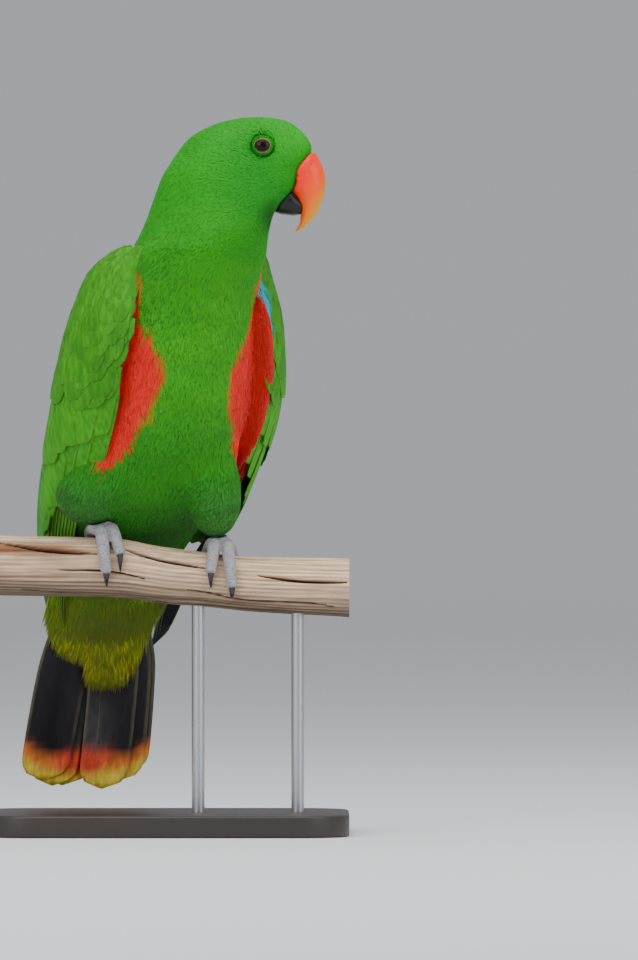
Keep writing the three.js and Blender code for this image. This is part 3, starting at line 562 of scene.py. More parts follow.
def tuft_piece(name, paths, normals, widths, heights, colours, place_map):
    """Meshes of tufts, split so that no piece grows too large."""
    parts = math.ceil(len(paths) / MOST_TUFTS)
    made = []
    for part in range(parts):
        chosen = slice(part, None, parts)
        points = tuft_points(paths[chosen], normals[chosen], widths[chosen], heights[chosen])
        count = len(points)
        offsets = (np.arange(count) * 8)[:, None, None]
        quads = (TUFT_FACES + offsets).reshape(-1, 4)
        triangles = (TUFT_ENDS + offsets).reshape(-1, 3)
        title = name if parts == 1 else f"{name}_{part + 1}"
        piece, corners = quad_mesh(title, points.reshape(-1, 3), quads, triangles)
        # Painted shade at each tuft's sunk root, and painted light on its raised shaft and tip.
        root_shade_tip_light = np.array([0.72, 0.88, 0.94, 0.88, 1.0, 1.04, 1.0, 1.1])
        tones = colours[chosen][:, None, :] * root_shade_tip_light[None, :, None]
        store_colour(piece.data, tones.reshape(-1, 3))
        places = place_map[chosen][:, None, :] + TUFT_MAP[None] * PATCH
        store_bake_map(piece, places, corners)
        smooth_shaded(piece)
        made.append(piece)
    return made


# %% [markdown]
# ## Where the body's tufts grow
# The skin's faces are small and even, so each gets a few roots at random places inside it, more on
# the face than on the body. What the wings hide stays bare, and so does the eye.

# %% Scatter roots over the skin
WING_COVER = (62, 150)
WING_COVER_HEIGHTS = (0.208, 0.302)
BODY_DENSITY, FACE_DENSITY = 1.15e6, 1.5e6
BARE_ROUND_EYE = 4.2 * MM


def face_corners(piece):
    """The four corners of each face of a quad mesh."""
    corners = np.empty(len(piece.data.polygons) * 4, np.int32)
    piece.data.loops.foreach_get("vertex_index", corners)
    return points_of(piece)[corners.reshape(-1, 4)]


def scatter(quads, density):
    """Random places inside faces, with a whole or chance number of them for each face."""
    centre = quads.mean(axis=1)
    diagonals = np.cross(quads[:, 2] - quads[:, 0], quads[:, 3] - quads[:, 1])
    area = 0.5 * np.linalg.norm(diagonals, axis=1)
    wanted = density(centre) * area
    counts = np.floor(wanted + rng.random(len(wanted))).astype(int)
    which = np.repeat(np.arange(len(quads)), counts)
    u, v = rng.random((2, len(which), 1))
    chosen = quads[which]
    places = (chosen[:, 0] * (1 - u) + chosen[:, 1] * u) * (1 - v)
    places += (chosen[:, 3] * (1 - u) + chosen[:, 2] * u) * v
    return places, unit(diagonals)[which]


def body_density(points):
    """Tufts for each square metre of skin."""
    z = points[:, 2]
    angle = np.abs(round_body(points))
    to_bill = np.linalg.norm(points - BILL_ROOT, axis=1)
    wanted = np.full(len(points), BODY_DENSITY)
    wanted += FACE_DENSITY * (1 - smoothstep(to_bill, 48 * MM, 85 * MM))
    low, high = WING_COVER_HEIGHTS
    under_wing = (angle > WING_COVER[0]) & (angle < WING_COVER[1]) & (z > low) & (z < high)
    wanted[under_wing] = 0
    ahead = points[:, 0] - EYE_LEVEL[0] - 0.6 * MM
    wanted[np.hypot(ahead, points[:, 2] - EYE_LEVEL[2]) < BARE_ROUND_EYE] = 0
    return wanted


thinning = 1.0
roots, root_normals = scatter(face_corners(skin), lambda p: thinning * body_density(p))
print("body tufts", len(roots))

# %% Grow the body's tufts
# Length, width and height of a tuft in millimetres, on the body and on the face.
BODY_TUFT = np.array([10.5, 1.15, 0.34])
FACE_TUFT = np.array([4, 0.75, 0.2])
# Near an eye the tufts lie over the lid's outer part, this much above the ball.
OVER_LID = 1.0 * MM
LID_COVER = 1.3
reach = np.linalg.norm(roots - BILL_ROOT, axis=1)
fine = 1 - smoothstep(reach, 35 * MM, 100 * MM)
near_eye = smoothstep(np.linalg.norm((roots - EYE_LEVEL)[:, [0, 2]], axis=1), 5 * MM, 14 * MM)
length, width, height = (BODY_TUFT * (1 - fine[:, None]) + FACE_TUFT * fine[:, None]).T * MM
lengths = length * (0.4 + 0.6 * near_eye)
lengths *= rng.uniform(0.75, 1.25, len(roots)) * (1 + 0.5 * is_red(roots))
widths = width * rng.uniform(0.8, 1.2, len(roots))
heights = height * rng.uniform(0.6, 1.3, len(roots))
flow = lie(roots, root_normals)
swing = rng.normal(0, 0.1, (len(roots), 1))
flow = unit(flow + np.cross(root_normals, flow) * swing)
middles, middle_normals = on_surface(skin_tree, roots + flow * lengths[:, None] * 0.5)
onward = lie(middles, middle_normals)
onward = unit(onward + np.cross(middle_normals, onward) * swing)
tips, tip_normals = on_surface(skin_tree, middles + onward * lengths[:, None] * 0.5)
paths = np.stack([roots, middles, tips], axis=1)
for which, side in (("right", -1), ("left", 1)):
    low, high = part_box(f"eye_{which}")
    ball = (np.array(low) + np.array(high)) / 2
    radius = (high.x - low.x) / 2
    level = side * (paths[..., 1] - ball[1])
    distance = np.hypot(paths[..., 0] - ball[0], paths[..., 2] - ball[2])
    on_ball = np.sqrt(np.clip(radius**2 - distance**2, 0, None))
    over_lid = on_ball + OVER_LID * (LID_COVER * radius - distance) / radius
    near = (distance < LID_COVER * radius) & (level > -radius)
    paths[..., 1] = np.where(near, ball[1] + side * np.maximum(level, over_lid), paths[..., 1])
path_normals = np.stack([root_normals, middle_normals, tip_normals], axis=1)
mottle = 0.05 + 0.07 * (1 - fine)
tones = paint_body(roots) * (1 + mottle * rng.uniform(-1, 1, len(roots)))[:, None]
body_coat = tuft_piece("body_coat", paths, path_normals, widths, heights, tones, body_map(roots))
for piece in body_coat:
    finished(piece, "green_feathers", COAT)

# %% [markdown]
# ## Vanes
# A wing or tail feather is a long blade, thin and slightly arched across, with its shaft along the
# middle. All of a tier are built at once from arrays: a ring of points round the blade at each
# station of its path, joined by faces and closed at both ends.

# %% Many blades as one mesh
ACROSS = np.array([-1, -0.84, -0.45, 0, 0.45, 0.84, 1])


def blades(name, paths, normals, half_widths, cambers, thickness, colour_of, tilt=0.0):
    """paths and normals: feathers x stations x 3. colour_of takes along, across, top and feather."""
    count, stations = paths.shape[:2]
    along = unit(np.gradient(paths, axis=1))
    aside = unit(np.cross(along, normals))
    up = np.cross(aside, along)
    tilt = np.broadcast_to(np.asarray(tilt, float), (count,))[:, None, None]
    aside, up = aside * np.cos(tilt) + up * np.sin(tilt), up * np.cos(tilt) - aside * np.sin(tilt)
    across = np.concatenate([ACROSS, ACROSS[-2:0:-1]])
    top = np.concatenate([np.ones(len(ACROSS)), -np.ones(len(ACROSS) - 2)])
    top[[0, len(ACROSS) - 1]] = 0
    sides = len(across)
    t = np.linspace(0, 1, stations)
    thin = thickness * (1 - 0.5 * t)[None, :, None] * 0.5
    shaft = 0.35 * thickness * (1 - t)[None, :, None] * (across == 0)
    rise = top * (thin + shaft) * (1 - 0.5 * np.abs(across)) - cambers[..., None] * across**2
    ring = paths[:, :, None] + aside[:, :, None] * (half_widths[..., None] * across)[..., None]
    ring = ring + up[:, :, None] * rise[..., None]
    index = np.arange(count * stations * sides).reshape(count, stations, sides)
    quads = ring_quads(index)
    caps = []
    for ring_index, turn in ((index[:, 0], 1), (index[:, -1], -1)):
        for k in range(1, sides - 1):
            caps.append(np.stack([ring_index[:, 0], ring_index[:, k], ring_index[:, k + 1]][::turn], -1))
    piece, corners = quad_mesh(name, ring.reshape(-1, 3), quads, np.concatenate(caps))
    shape = (count, stations, sides)
    colours = colour_of(
        np.broadcast_to(t[None, :, None], shape),
        np.broadcast_to(across, shape),
        np.broadcast_to(top, shape),
        np.broadcast_to(np.arange(count)[:, None, None], shape),
    )
    store_colour(piece.data, colours.reshape(-1, 3))
    strips = np.zeros(shape + (2,))
    strips[..., 0] = (np.arange(count)[:, None, None] + 0.5 + 0.45 * across) / count
    strips[..., 1] = 0.01 + 0.48 * t[None, :, None] + 0.5 * (top < 0)
    store_bake_map(piece, strips, corners)
    smooth_shaded(piece)
    return piece, corners


def blade_width(stations, half_width, tip=0.14, root=0.5):
    """Half widths along a blade: narrow at the root, round at the tip."""
    t = np.linspace(0, 1, stations)
    body = root + (1 - root) * smoothstep(t, 0, 0.45)
    end = np.sqrt(np.clip(1 - np.clip((t - 1 + tip) / tip, 0, 1) ** 2.4, 0.0025, 1))
    return half_width * body * end


# %% [markdown]
# ## The folded wings
# A folded wing is a curved sheet wrapped round the side of the body. It is given as level arcs, and
# a place on it is a height, an angle from straight ahead, and a lift off the sheet.

# %% The wing's sheet
WING_ARCS = MM * table(
    (96, -34, 64, 27, 11, 12),
    (101, -33, 62, 30, 12, 13),
    (127, -29, 52, 41, 15, 17),
    (147, -22.5, 43, 48, 18, 22),
    (166, -16, 35, 54.5, 24, 26),
    (186, -10, 26, 59.5, 31, 29),
    (205, -5.7, 17, 62, 39, 32),
    (225, -1, 8, 63, 44, 34),
    (244, 2, -1, 62, 45, 34),
    (264, 4, -9, 59.5, 45, 34),
    (283, 6, -15, 55, 43, 34),
    (303, 8, -18, 48, 31, 31),
    (313, 12, -20, 41, 25, 28),
    (322, 15, -22, 33, 20, 24),
)
LEAD_ANGLE, TRAIL_ANGLE = 42, 164
WING_TOP, WING_HEM = 0.318, 0.257
WING_THICKNESS = 7 * MM
BLADE_THICKNESS = 0.5 * MM


def wing_point(side, z, angle, lift):
    """Places on the folded wing, and the way outwards there."""
    z, angle, lift = np.broadcast_arrays(z, angle, lift)
    x, y, half, ahead, behind = np.moveaxis(table_at(WING_ARCS, z), -1, 0)
    a = np.radians(angle)
    depth = np.where(np.cos(a) > 0, ahead, behind)
    out_side, out_ahead = np.sin(a) / half, np.cos(a) / depth
    size = np.hypot(out_side, out_ahead)
    out_side, out_ahead = side * out_side / size, out_ahead / size
    outward = out_side[..., None] * LEFT + out_ahead[..., None] * FACING
    place = np.stack([x, y, z], -1)
    place = place + (side * half * np.sin(a))[..., None] * LEFT + (depth * np.cos(a))[..., None] * FACING
    return place + outward * lift[..., None], outward


def sheet_camber(side, z, angle, distance):
    """How far the sheet falls away beside a place."""
    before, _ = wing_point(side, z, angle - 8, 0)
    after, _ = wing_point(side, z, angle + 8, 0)
    here, _ = wing_point(side, z, angle, 0)
    chord = np.linalg.norm(after - before, axis=-1)
    sagitta = np.linalg.norm((before + after) / 2 - here, axis=-1)
    return 4 * sagitta * (distance / chord) ** 2


def swell(u, v):
    """Half thickness of the wing over its small coverts."""
    lead = np.sqrt(1 - (1 - np.minimum(u / 0.2, 1)) ** 2)
    top = np.sqrt(1 - (1 - np.minimum(v / 0.2, 1)) ** 2)
    body = lead * top * (1 - 0.35 * u) * (1 - 0.2 * v) * np.sqrt(1 - u**8)
    return 0.5 * WING_THICKNESS * np.maximum(0.12, body)


def wing_core(side, name):
    """The covert-clad plate of the wing, as a grid wrapped over its outer and inner face."""
    rows, columns = 34, 44
    bpy.ops.object.select_all(action="DESELECT")
    bpy.ops.mesh.primitive_grid_add(x_subdivisions=columns, y_subdivisions=2 * rows, size=2)
    piece = new_object(name)
    flat = points_of(piece)
    u = (flat[:, 0] + 1) / 2
    around = (flat[:, 1] + 1)
    inner = around > 1
    v = np.where(inner, 2 - around, around)
    angle = LEAD_ANGLE + (TRAIL_ANGLE - LEAD_ANGLE) * u
    z = WING_TOP + (WING_HEM - WING_TOP) * v
    rim = np.minimum.reduce([u, 1 - u, v, 1 - v]) > 1e-4
    half = swell(u, v) * rim
    outer_points, _ = wing_point(side, z, angle, half)
    inner_points, outward = wing_point(side, z, angle, -half)
    fill = rim * smoothstep(u, 0.06, 0.3) * (1 - smoothstep(v, 0.45, 0.8))
    inner_points = inner_points - outward * (fill * 9 * MM)[:, None]
    move_points(piece, np.where(inner[:, None], inner_points, outer_points))
    with editing(piece):
        bpy.ops.mesh.remove_doubles(threshold=0.05 * MM)
        bpy.ops.mesh.normals_make_consistent(inside=False)
    store_colour(piece.data, np.tile(0.6 * WING_GREEN, (len(piece.data.vertices), 1)))
    smooth_shaded(piece)
    return piece


# %% [markdown]
# ## Tiers of wing feathers
# From the top down, small coverts give way to greater coverts, these to the long secondaries, and
# under them lie the dark primaries, whose tips reach past the perch. Every tier has a root line and
# a tip line. Each feather lies over the next one towards the leading edge.

# %% Flight feathers and great coverts
STATIONS = 18


def wing_tier(side, name, count, root, tip, lift, half_width, thickness, tilt, colour_of):
    s = np.linspace(0, 1, count)[:, None]
    t = np.linspace(0, 1, STATIONS)[None, :]
    (root_z, root_angle), (tip_z, tip_angle) = root(s), tip(s)
    jitter = rng.normal(0, 1, (3, count, 1))
    tip_z = tip_z + jitter[0] * 1.3 * MM
    tip_angle = tip_angle + jitter[1] * 0.8
    z = root_z + (tip_z - root_z) * t
    angle = root_angle + (tip_angle - root_angle) * t
    paths, outward = wing_point(side, z, angle, lift(s, t) + jitter[2] * 0.1 * MM)
    cambers = sheet_camber(side, z, angle, half_width)
    widths = np.tile(blade_width(STATIONS, half_width), (count, 1))
    cambers = cambers * (widths / half_width) ** 2
    turn = -side * math.radians(tilt)
    piece, _ = blades(name, paths, outward, widths, cambers, thickness, colour_of, turn)
    return piece


def secondary_root(s):
    return 0.263 + 0 * s, 50 + 104 * s


def secondary_tip(s):
    return 0.152 + 0.050 * (1 - s) ** 2.4 + 0.018 * s**6, 50 + 106 * s**0.94


def along_secondary(s, z):
    (root_z, root_angle), (tip_z, tip_angle) = secondary_root(s), secondary_tip(s)
    share = (root_z - z) / (root_z - tip_z)
    return z + 0 * s, root_angle + (tip_angle - root_angle) * share


def quill_colours(t, across, top, feather):
    """Green outer vanes with lime edges, dark towards the hidden inner side."""
    tone = mixed(WING_GREEN, WING_DUSK, 0.35 * smoothstep(-across, -0.2, 0.8))
    tone = mixed(tone, WING_LIME, 0.3 * smoothstep(feather, 5, 9))
    edge = smoothstep(np.abs(across), 0.8, 1.0)
    tone = mixed(tone, WING_LIME, 0.55 * edge)
    tone = mixed(tone, QUILL_BLACK, 0.5 * (top < 0))
    shade = 0.9 + 0.2 * np.sin(feather * 2.4)
    return tone * (0.86 + 0.1 * shade)[..., None]


def primary_colours(t, across, top, feather):
    """Green where a folded primary shows, blue-black where it is covered or seen from inside."""
    green = mixed(WING_GREEN, WING_DUSK, 0.5 * smoothstep(np.abs(across), 0.5, 0.95))
    green = mixed(green, WING_BLUE, 0.25 * smoothstep(feather / PRIMARY_COUNT, 0.85, 1))
    tone = mixed(QUILL_BLACK, green, smoothstep(top, -0.2, 0.2) * (1 - 0.75 * smoothstep(t, 0.72, 1)))
    edge = smoothstep(np.abs(across), 0.84, 1)
    return mixed(tone, QUILL_EDGE, 0.5 * edge * (top <= 0))


def covert_colours(t, across, top, feather):
    tone = mixed(0.96 * WING_GREEN, WING_DUSK, 0.25 * smoothstep(-across, 0, 1))
    tone = mixed(tone, WING_LIME, 0.4 * smoothstep(np.abs(across), 0.8, 1) + 0.3 * smoothstep(t, 0.92, 1))
    return tone * (0.92 + 0.08 * np.sin(feather * 1.7))[..., None]


# %% Primaries, a flat fanned stack
PRIMARY_COUNT = 9
PRIMARY_HALF = 6.8 * MM


def primary_stack(side, name):
    s = np.linspace(0, 1, PRIMARY_COUNT)[:, None]
    t = np.linspace(0, 1, STATIONS)[None, :]
    top_z, tip_z = 0.262, 0.101
    ends = tip_z + 0.060 * (s - 0.3) ** 2
    z = top_z + (ends - top_z) * t
    fall = (top_z - z) / (top_z - tip_z)
    angle = 64 + (97 - 64) * fall
    lift = -6.5 + 2.5 * smoothstep(fall, 0.65, 0.95) + 5 * (s - 0.5)
    paths, outward = wing_point(side, z, angle, lift * MM)
    back = np.stack([-outward[..., 1], outward[..., 0], 0 * z], -1) * side
    paths = paths + back * ((s - 0.5) * (22 + (14 - 22) * fall) * MM)[..., None]
    widths = np.tile(blade_width(STATIONS, PRIMARY_HALF), (PRIMARY_COUNT, 1))
    cambers = 0.3 * MM * (widths / PRIMARY_HALF) ** 2
    piece, _ = blades(name, paths, outward, widths, cambers, BLADE_THICKNESS, primary_colours)
    return piece


# %% [markdown]
# ## Small coverts
# The shoulder and forearm are clad in rounded feathers like roof tiles, small at the leading edge
# and larger towards the great coverts. They are set out in staggered rows over the plate.

# %% Small coverts in rows
SMALL_STATIONS = 7


def small_coverts(side, name):
    rows = []
    v = 0.0
    while v < 1.12:
        length = (8 + 11 * v) * MM
        columns = int(24 - 8 * v)
        offset = 0.5 * (len(rows) % 2)
        u = np.clip((np.arange(columns) + offset + 0.5 * rng.random(columns)) / columns, 0.01, 0.985)
        rows.append(np.c_[u, np.full(columns, v), np.full(columns, length)])
        v += 0.07 + 0.035 * v
    u, v, length = np.concatenate(rows).T[:, :, None]
    v = v + rng.normal(0, 0.012 + 0.05 * v**3)
    t = np.linspace(0, 1, SMALL_STATIONS)[None, :]
    z0 = WING_TOP + (WING_HEM - WING_TOP) * np.clip(v, 0, 1.2)
    z = z0 - length * t
    angle = LEAD_ANGLE + (TRAIL_ANGLE - LEAD_ANGLE) * u + 300 * length * t
    here = np.clip((WING_TOP - z) / (WING_TOP - WING_HEM), 0, 1)
    hem = swell(u, here)
    settled = 2.9 * MM
    below = smoothstep(z, WING_HEM - 14 * MM, WING_HEM)
    lift = hem * below + settled * (1 - below) + (0.1 + 0.75 * t) * MM
    paths, outward = wing_point(side, z, angle, lift)
    half = (3.4 + 3.2 * v) * MM * rng.uniform(0.9, 1.15, v.shape)
    widths = blade_width(SMALL_STATIONS, 1.0, tip=0.45, root=0.55) * half
    cambers = sheet_camber(side, z, angle, widths)
    tilt = -side * math.radians(4)
    lead = smoothstep(-u[:, 0], -0.07, -0.035) * (side > 0)

    def colours(t, across, top, feather):
        tone = covert_colours(t, across, top, feather)
        edge = lead[feather] * (1 - smoothstep(v[:, 0], 0.7, 0.9))[feather]
        tone = mixed(tone, WING_LIME, 0.3 * smoothstep(u[:, 0], 0.55, 0.8)[feather])
        tone = mixed(0.9 * tone, WING_CYAN, edge)
        return tone * (0.95 + 0.07 * np.sin(feather * 5.1))[..., None]

    piece, corners = blades(name, paths, outward, widths, cambers, 0.45 * MM, colours, tilt)
    count, sides = len(u), 2 * len(ACROSS) - 2
    places = np.c_[0.05 + 0.9 * u, 0.05 + 0.9 * v]
    spread = np.zeros((count, SMALL_STATIONS, sides, 2))
    spread[..., 0] = 0.5 + 0.5 * np.concatenate([ACROSS, ACROSS[-2:0:-1]])
    spread[..., 1] = t[..., None]
    store_bake_map(piece, places[:, None, None] + spread * PATCH, corners)
    return piece


# %% [markdown]
# ## Red under the wings
# The small coverts on the wing's inner face are red like the flanks, and they show where the wing
# stands a little off the body. They are soft, so they are tufts, laid from the leading edge down.

# %% Underwing coverts
def underwing(side, name, count):
    z = rng.uniform(0.198, 0.302, count)
    angle = LEAD_ANGLE - 1 + 44 * rng.random(count) ** 1.3
    steps = np.array([0, 0.5, 1])
    length = rng.uniform(9, 15, count) * MM
    heights_at = z[:, None] - length[:, None] * steps
    turned = angle[:, None] + (2 + 5 * rng.random((count, 1))) * steps
    depth = -(1.6 + 9 * smoothstep(angle, 43, 74)) * MM
    paths, outward = wing_point(side, heights_at, turned, depth[:, None] + 0 * steps)
    widths = rng.uniform(1.4, 2.4, count) * MM
    heights = rng.uniform(0.3, 0.9, count) * MM
    tones = np.tile(FLANK_RED, (count, 1)) * rng.uniform(0.7, 1.0, (count, 1))
    places = np.c_[0.05 + (angle - 40) / 60, (z - 0.15) / 0.18]
    return tuft_piece(name, paths, -outward, widths, heights, tones, places)


# %% [markdown]
# ## Flank feathers over the left wing
# In this pose the left wing stands off the body a little, and the flank's loose red feathers swell
# out of the gap and over the wing's front edge. Their roots are spread from the gap to that edge.

# %% Loose flank feathers
# How far back they lie over the wing, as an angle, by height.
FLUFF_EDGE = table(
    (0.196, 34),
    (0.210, 39),
    (0.222, 43),
    (0.236, 44),
    (0.262, 45),
    (0.278, 43),
    (0.293, 40),
)


def wing_fluff(name, count):
    """Flank feathers that lie over the front edge of the left wing, from the gap outwards."""
    z = rng.uniform(0.203, 0.293, count)
    edge = table_at(FLUFF_EDGE, z)[:, 0]
    share = rng.random(count)
    angle = 30 + (edge - 30 + rng.normal(0, 1, count)) * share
    steps = np.array([0, 0.5, 1])
    length = rng.uniform(8, 14, count) * MM
    heights_at = z[:, None] - length[:, None] * steps
    turned = angle[:, None] + rng.normal(0, 1, (count, 1)) * steps
    over = 2.2 + 1.6 * smoothstep(heights_at, 0.236, 0.250)
    lift = (-2 + (2 + over) * smoothstep(turned, 33, 44)) * MM
    paths, outward = wing_point(1, heights_at, turned, lift)
    widths = rng.uniform(1.2, 2.0, count) * MM
    heights = rng.uniform(0.2, 0.5, count) * MM
    tones = np.tile(FLANK_RED, (count, 1)) * rng.uniform(0.62, 0.9, (count, 1))
    places = np.c_[0.05 + (angle - 28) / 60, (z - 0.15) / 0.18]
    return tuft_piece(name, paths, outward, widths, heights, tones, places)


# %% [markdown]
# ## Both wings
# The two wings are built alike, tier by tier. Each feather's lift off the sheet grows from its root,
# which lies under the tier above, to its free end.

# %% Build both wings
for side, which in ((-1, "right"), (1, "left")):
    finished(wing_core(side, f"wing_core_{which}"), "wing_feathers", WING, f"wing_{which}")
    finished(primary_stack(side, f"primaries_{which}"), "wing_feathers", WING)
    secondaries = wing_tier(
        side, f"secondaries_{which}", 12, root=secondary_root, tip=secondary_tip,
        lift=lambda s, t: (-2 + 1.6 * smoothstep(t, 0, 0.2)) * MM + 0 * s,
        half_width=8.6 * MM, thickness=BLADE_THICKNESS, tilt=7, colour_of=quill_colours,
    )
    finished(secondaries, "wing_feathers", WING)
    greater = wing_tier(
        side, f"greater_coverts_{which}", 13,
        root=lambda s: along_secondary(s, 0.266),
        tip=lambda s: along_secondary(s, 0.207 + 0.008 * np.cos(7 * s)),
        lift=lambda s, t: (0.2 + 1.5 * smoothstep(t, 0, 0.3)) * MM + 0 * s,
        half_width=7.6 * MM, thickness=BLADE_THICKNESS, tilt=7, colour_of=covert_colours,
    )
    finished(greater, "wing_feathers", WING)
    finished(small_coverts(side, f"small_coverts_{which}"), "wing_feathers", WING)
    for piece in underwing(side, f"underwing_{which}", 1700):
        finished(piece, "wing_feathers", COAT)
for piece in wing_fluff("flank_fluff", 3200):
    finished(piece, "green_feathers", COAT)

# %% [markdown]
# ## The tail
# Twelve broad feathers, the middle pair on top and each pair outside it a step lower. From below,
# as in this view, they are charcoal with a band of red and then yellow at the tips. From above they
# are green with blue sides.

# %% The tail's frame
TAIL_ROOT = np.array([-34.5, 47, 134]) * MM
TAIL_TIP = np.array([-48.8, 73, 24]) * MM
TAIL_AXIS = TAIL_TIP - TAIL_ROOT
TAIL_UP = unit(np.cross(LEFT, TAIL_AXIS))
TAIL_UP = TAIL_UP * np.sign(TAIL_UP[1])


def tail_point(along, aside, above):
    along, aside, above = np.broadcast_arrays(along, aside, above)
    return TAIL_ROOT + along[..., None] * TAIL_AXIS + aside[..., None] * LEFT + above[..., None] * TAIL_UP


# %% The tail feathers
TAIL_COUNT = 12
TAIL_STATIONS = 30


TAIL_HALF = 14.6 * MM
# Each feather at its tip, from the bird's right: place across, how low it lies in the stack, and
# its length as a share of the tail's. One feather of the left half has slipped below its neighbours.
TAIL_FAN = np.array((
    (-23, 5.0, 0.955),
    (-17, 4.2, 0.985),
    (-11, 3.7, 0.985),
    (-8, 2.6, 0.97),
    (-4, 1.6, 0.965),
    (-1, 0.6, 0.96),
    (2, 0.6, 0.96),
    (5, 1.6, 0.965),
    (8.5, 2.6, 0.975),
    (23, 3.6, 0.93),
    (20, 4.8, 0.965),
    (11.5, 5.6, 1.0),
))


def tail_colours(t, across, top, feather):
    """Dark below with a red and yellow tip, the red strongest in the middle of the tail."""
    aside = TAIL_FAN[:, 0][feather] + across * TAIL_HALF / MM
    # Painted purple sheen towards the sides of each dark vane.
    dark = mixed(TAIL_CHARCOAL, TAIL_PURPLE_SHEEN, 0.6 * smoothstep(np.abs(across), 0.1, 0.7))
    dark = mixed(dark, TAIL_GREY, 0.5 * np.exp(-(((aside - 4) / 9) ** 2)) * smoothstep(t, 0.4, 0.75))
    upper = mixed(TAIL_GREEN, TAIL_BLUE, smoothstep(np.abs(aside), 6, 20))
    tone = mixed(dark, upper, top > 0)
    edge = smoothstep(np.abs(aside), 27, 37)
    reach = t * TAIL_FAN[:, 2][feather] + 0.008 * np.sin(0.4 * aside + 2 * feather) + 0.06 * edge
    reach = reach + 0.03 * np.exp(-(((aside + 1) / 12) ** 2))
    red = mixed(TAIL_RED, TAIL_ORANGE, smoothstep(np.abs(aside + 2), 10, 22))
    tone = mixed(tone, red, smoothstep(reach, 0.79, 0.87))
    middle = np.exp(-(((aside + 1) / 13) ** 2))
    tone = mixed(tone, TAIL_YELLOW, smoothstep(reach, 0.865 + 0.06 * middle, 0.915 + 0.07 * middle))
    rim = smoothstep(np.abs(across), 0.9, 1.0) * (1 - smoothstep(t, 0.7, 0.85))
    return mixed(tone, TAIL_RIM, 0.45 * rim)


def tail_feathers():
    place, low, reach = TAIL_FAN.T[:, :, None]
    t = np.linspace(0, 1, TAIL_STATIONS)[None, :]
    spread = place * (0.62 + 0.38 * (1 - (1 - t) ** 2)) * MM
    drop = low * (0.45 + 0.55 * np.minimum(t / 0.4, 1)) * MM
    paths = tail_point(t * reach, spread, -drop)
    normals = np.broadcast_to(TAIL_UP, paths.shape)
    widths = np.tile(blade_width(TAIL_STATIONS, TAIL_HALF, tip=0.13, root=0.6), (TAIL_COUNT, 1))
    cambers = 1.2 * MM * (widths / TAIL_HALF) ** 2
    piece, _ = blades("tail_feathers", paths, normals, widths, cambers, BLADE_THICKNESS, tail_colours)
    return piece


finished(tail_feathers(), "tail_feathers", TAIL, "tail")

# %% [markdown]
# ## Tail coverts
# Under the tail's root hang long, loose, olive-yellow coverts whose fine barbs hardly hold together,
# so they are made as many narrow tufts in layers. Their tips follow the outline that the solids
# give: a long rounded lobe in the middle and a shorter one at each side.

# %% Undertail and uppertail coverts
# How far down the tail the coverts reach, from the bird's right side to its left.
COVERT_REACH = table(
    (-0.031, 0.20),
    (-0.026, 0.30),
    (-0.021, 0.355),
    (-0.012, 0.385),
    (-0.0085, 0.40),
    (-0.0065, 0.49),
    (0.004, 0.520),
    (0.015, 0.500),
    (0.020, 0.43),
    (0.026, 0.27),
    (0.031, 0.10),
)


def tail_coverts(name, count, under, above_root, above_tip, half_span, tone_of):
    """Layered tufts along the tail's root, under it or over it."""
    aside = rng.uniform(-half_span, half_span, count)
    limit = table_at(COVERT_REACH, aside)[:, 0] if under else np.full(count, 0.34)
    layer = rng.random(count) ** 0.7
    tip = limit * (-0.1 + 1.1 * layer) - 0.015 * rng.random(count)
    root = tip - rng.uniform(0.2, 0.36, count)
    depth = above_root + (above_tip - above_root) * smoothstep(tip, -0.05, 0.30)
    steps = np.array([0, 0.5, 1])
    along = root[:, None] + (tip - root)[:, None] * steps
    sway = rng.normal(0, 1.3, (count, 1)) * MM * steps**2
    lift = depth[:, None] + np.sign(depth[:, None]) * steps * 0.8 * MM
    curve = 1 - 0.55 * (np.abs(aside) / half_span) ** 2
    paths = tail_point(along, aside[:, None] * (1 + 0.05 * steps) + sway, lift * curve[:, None])
    normals = np.broadcast_to(TAIL_UP * np.sign(above_root), paths.shape)
    normals = unit(normals + LEFT * (aside / half_span)[:, None, None] * 0.7)
    widths = rng.uniform(0.7, 1.4, count) * MM
    heights = rng.uniform(0.2, 0.6, count) * MM
    tones = tone_of(aside, tip) * rng.uniform(0.8, 1.2, (count, 1))
    places = np.c_[0.5 + aside / (2.4 * half_span), 0.3 + 1.1 * np.clip(tip, -0.2, 0.6)]
    return tuft_piece(name, paths, normals, widths, heights, tones, places)


def olive(aside, tip):
    green = np.clip(0.85 - 1.7 * tip + rng.normal(0, 0.22, len(tip)), 0, 1)
    tone = mixed(OLIVE_YELLOW, OLIVE_GREEN, green)
    return mixed(tone, BELLY_SHADE_GREEN, 0.8 * smoothstep(0.08 - tip, 0, 0.12))


def rump_green(aside, tip):
    return np.tile(BACK_GREEN, (len(aside), 1))


under_tail = tail_coverts(
    "undertail_tufts", 11000, under=True,
    above_root=-17 * MM, above_tip=-9.5 * MM, half_span=31 * MM, tone_of=olive,
)
for piece in under_tail:
    finished(piece, "undertail_feathers", COAT, "undertail_coverts")
over_tail = tail_coverts(
    "uppertail_tufts", 4000, under=False,
    above_root=8 * MM, above_tip=4 * MM, half_span=24 * MM, tone_of=rump_green,
)
for piece in over_tail:
    finished(piece, "green_feathers", COAT, "uppertail_coverts")

# %% [markdown]
# ## Eyes
# The eye is dark with a red-brown iris. A ball whose poles lie on the line of sight has rings of
# faces round the pupil, so pupil and iris can be stored ring by ring. The lid is a thin shell over
# the ball with an oval opening, and its edge is a fine pale ring of bare skin.

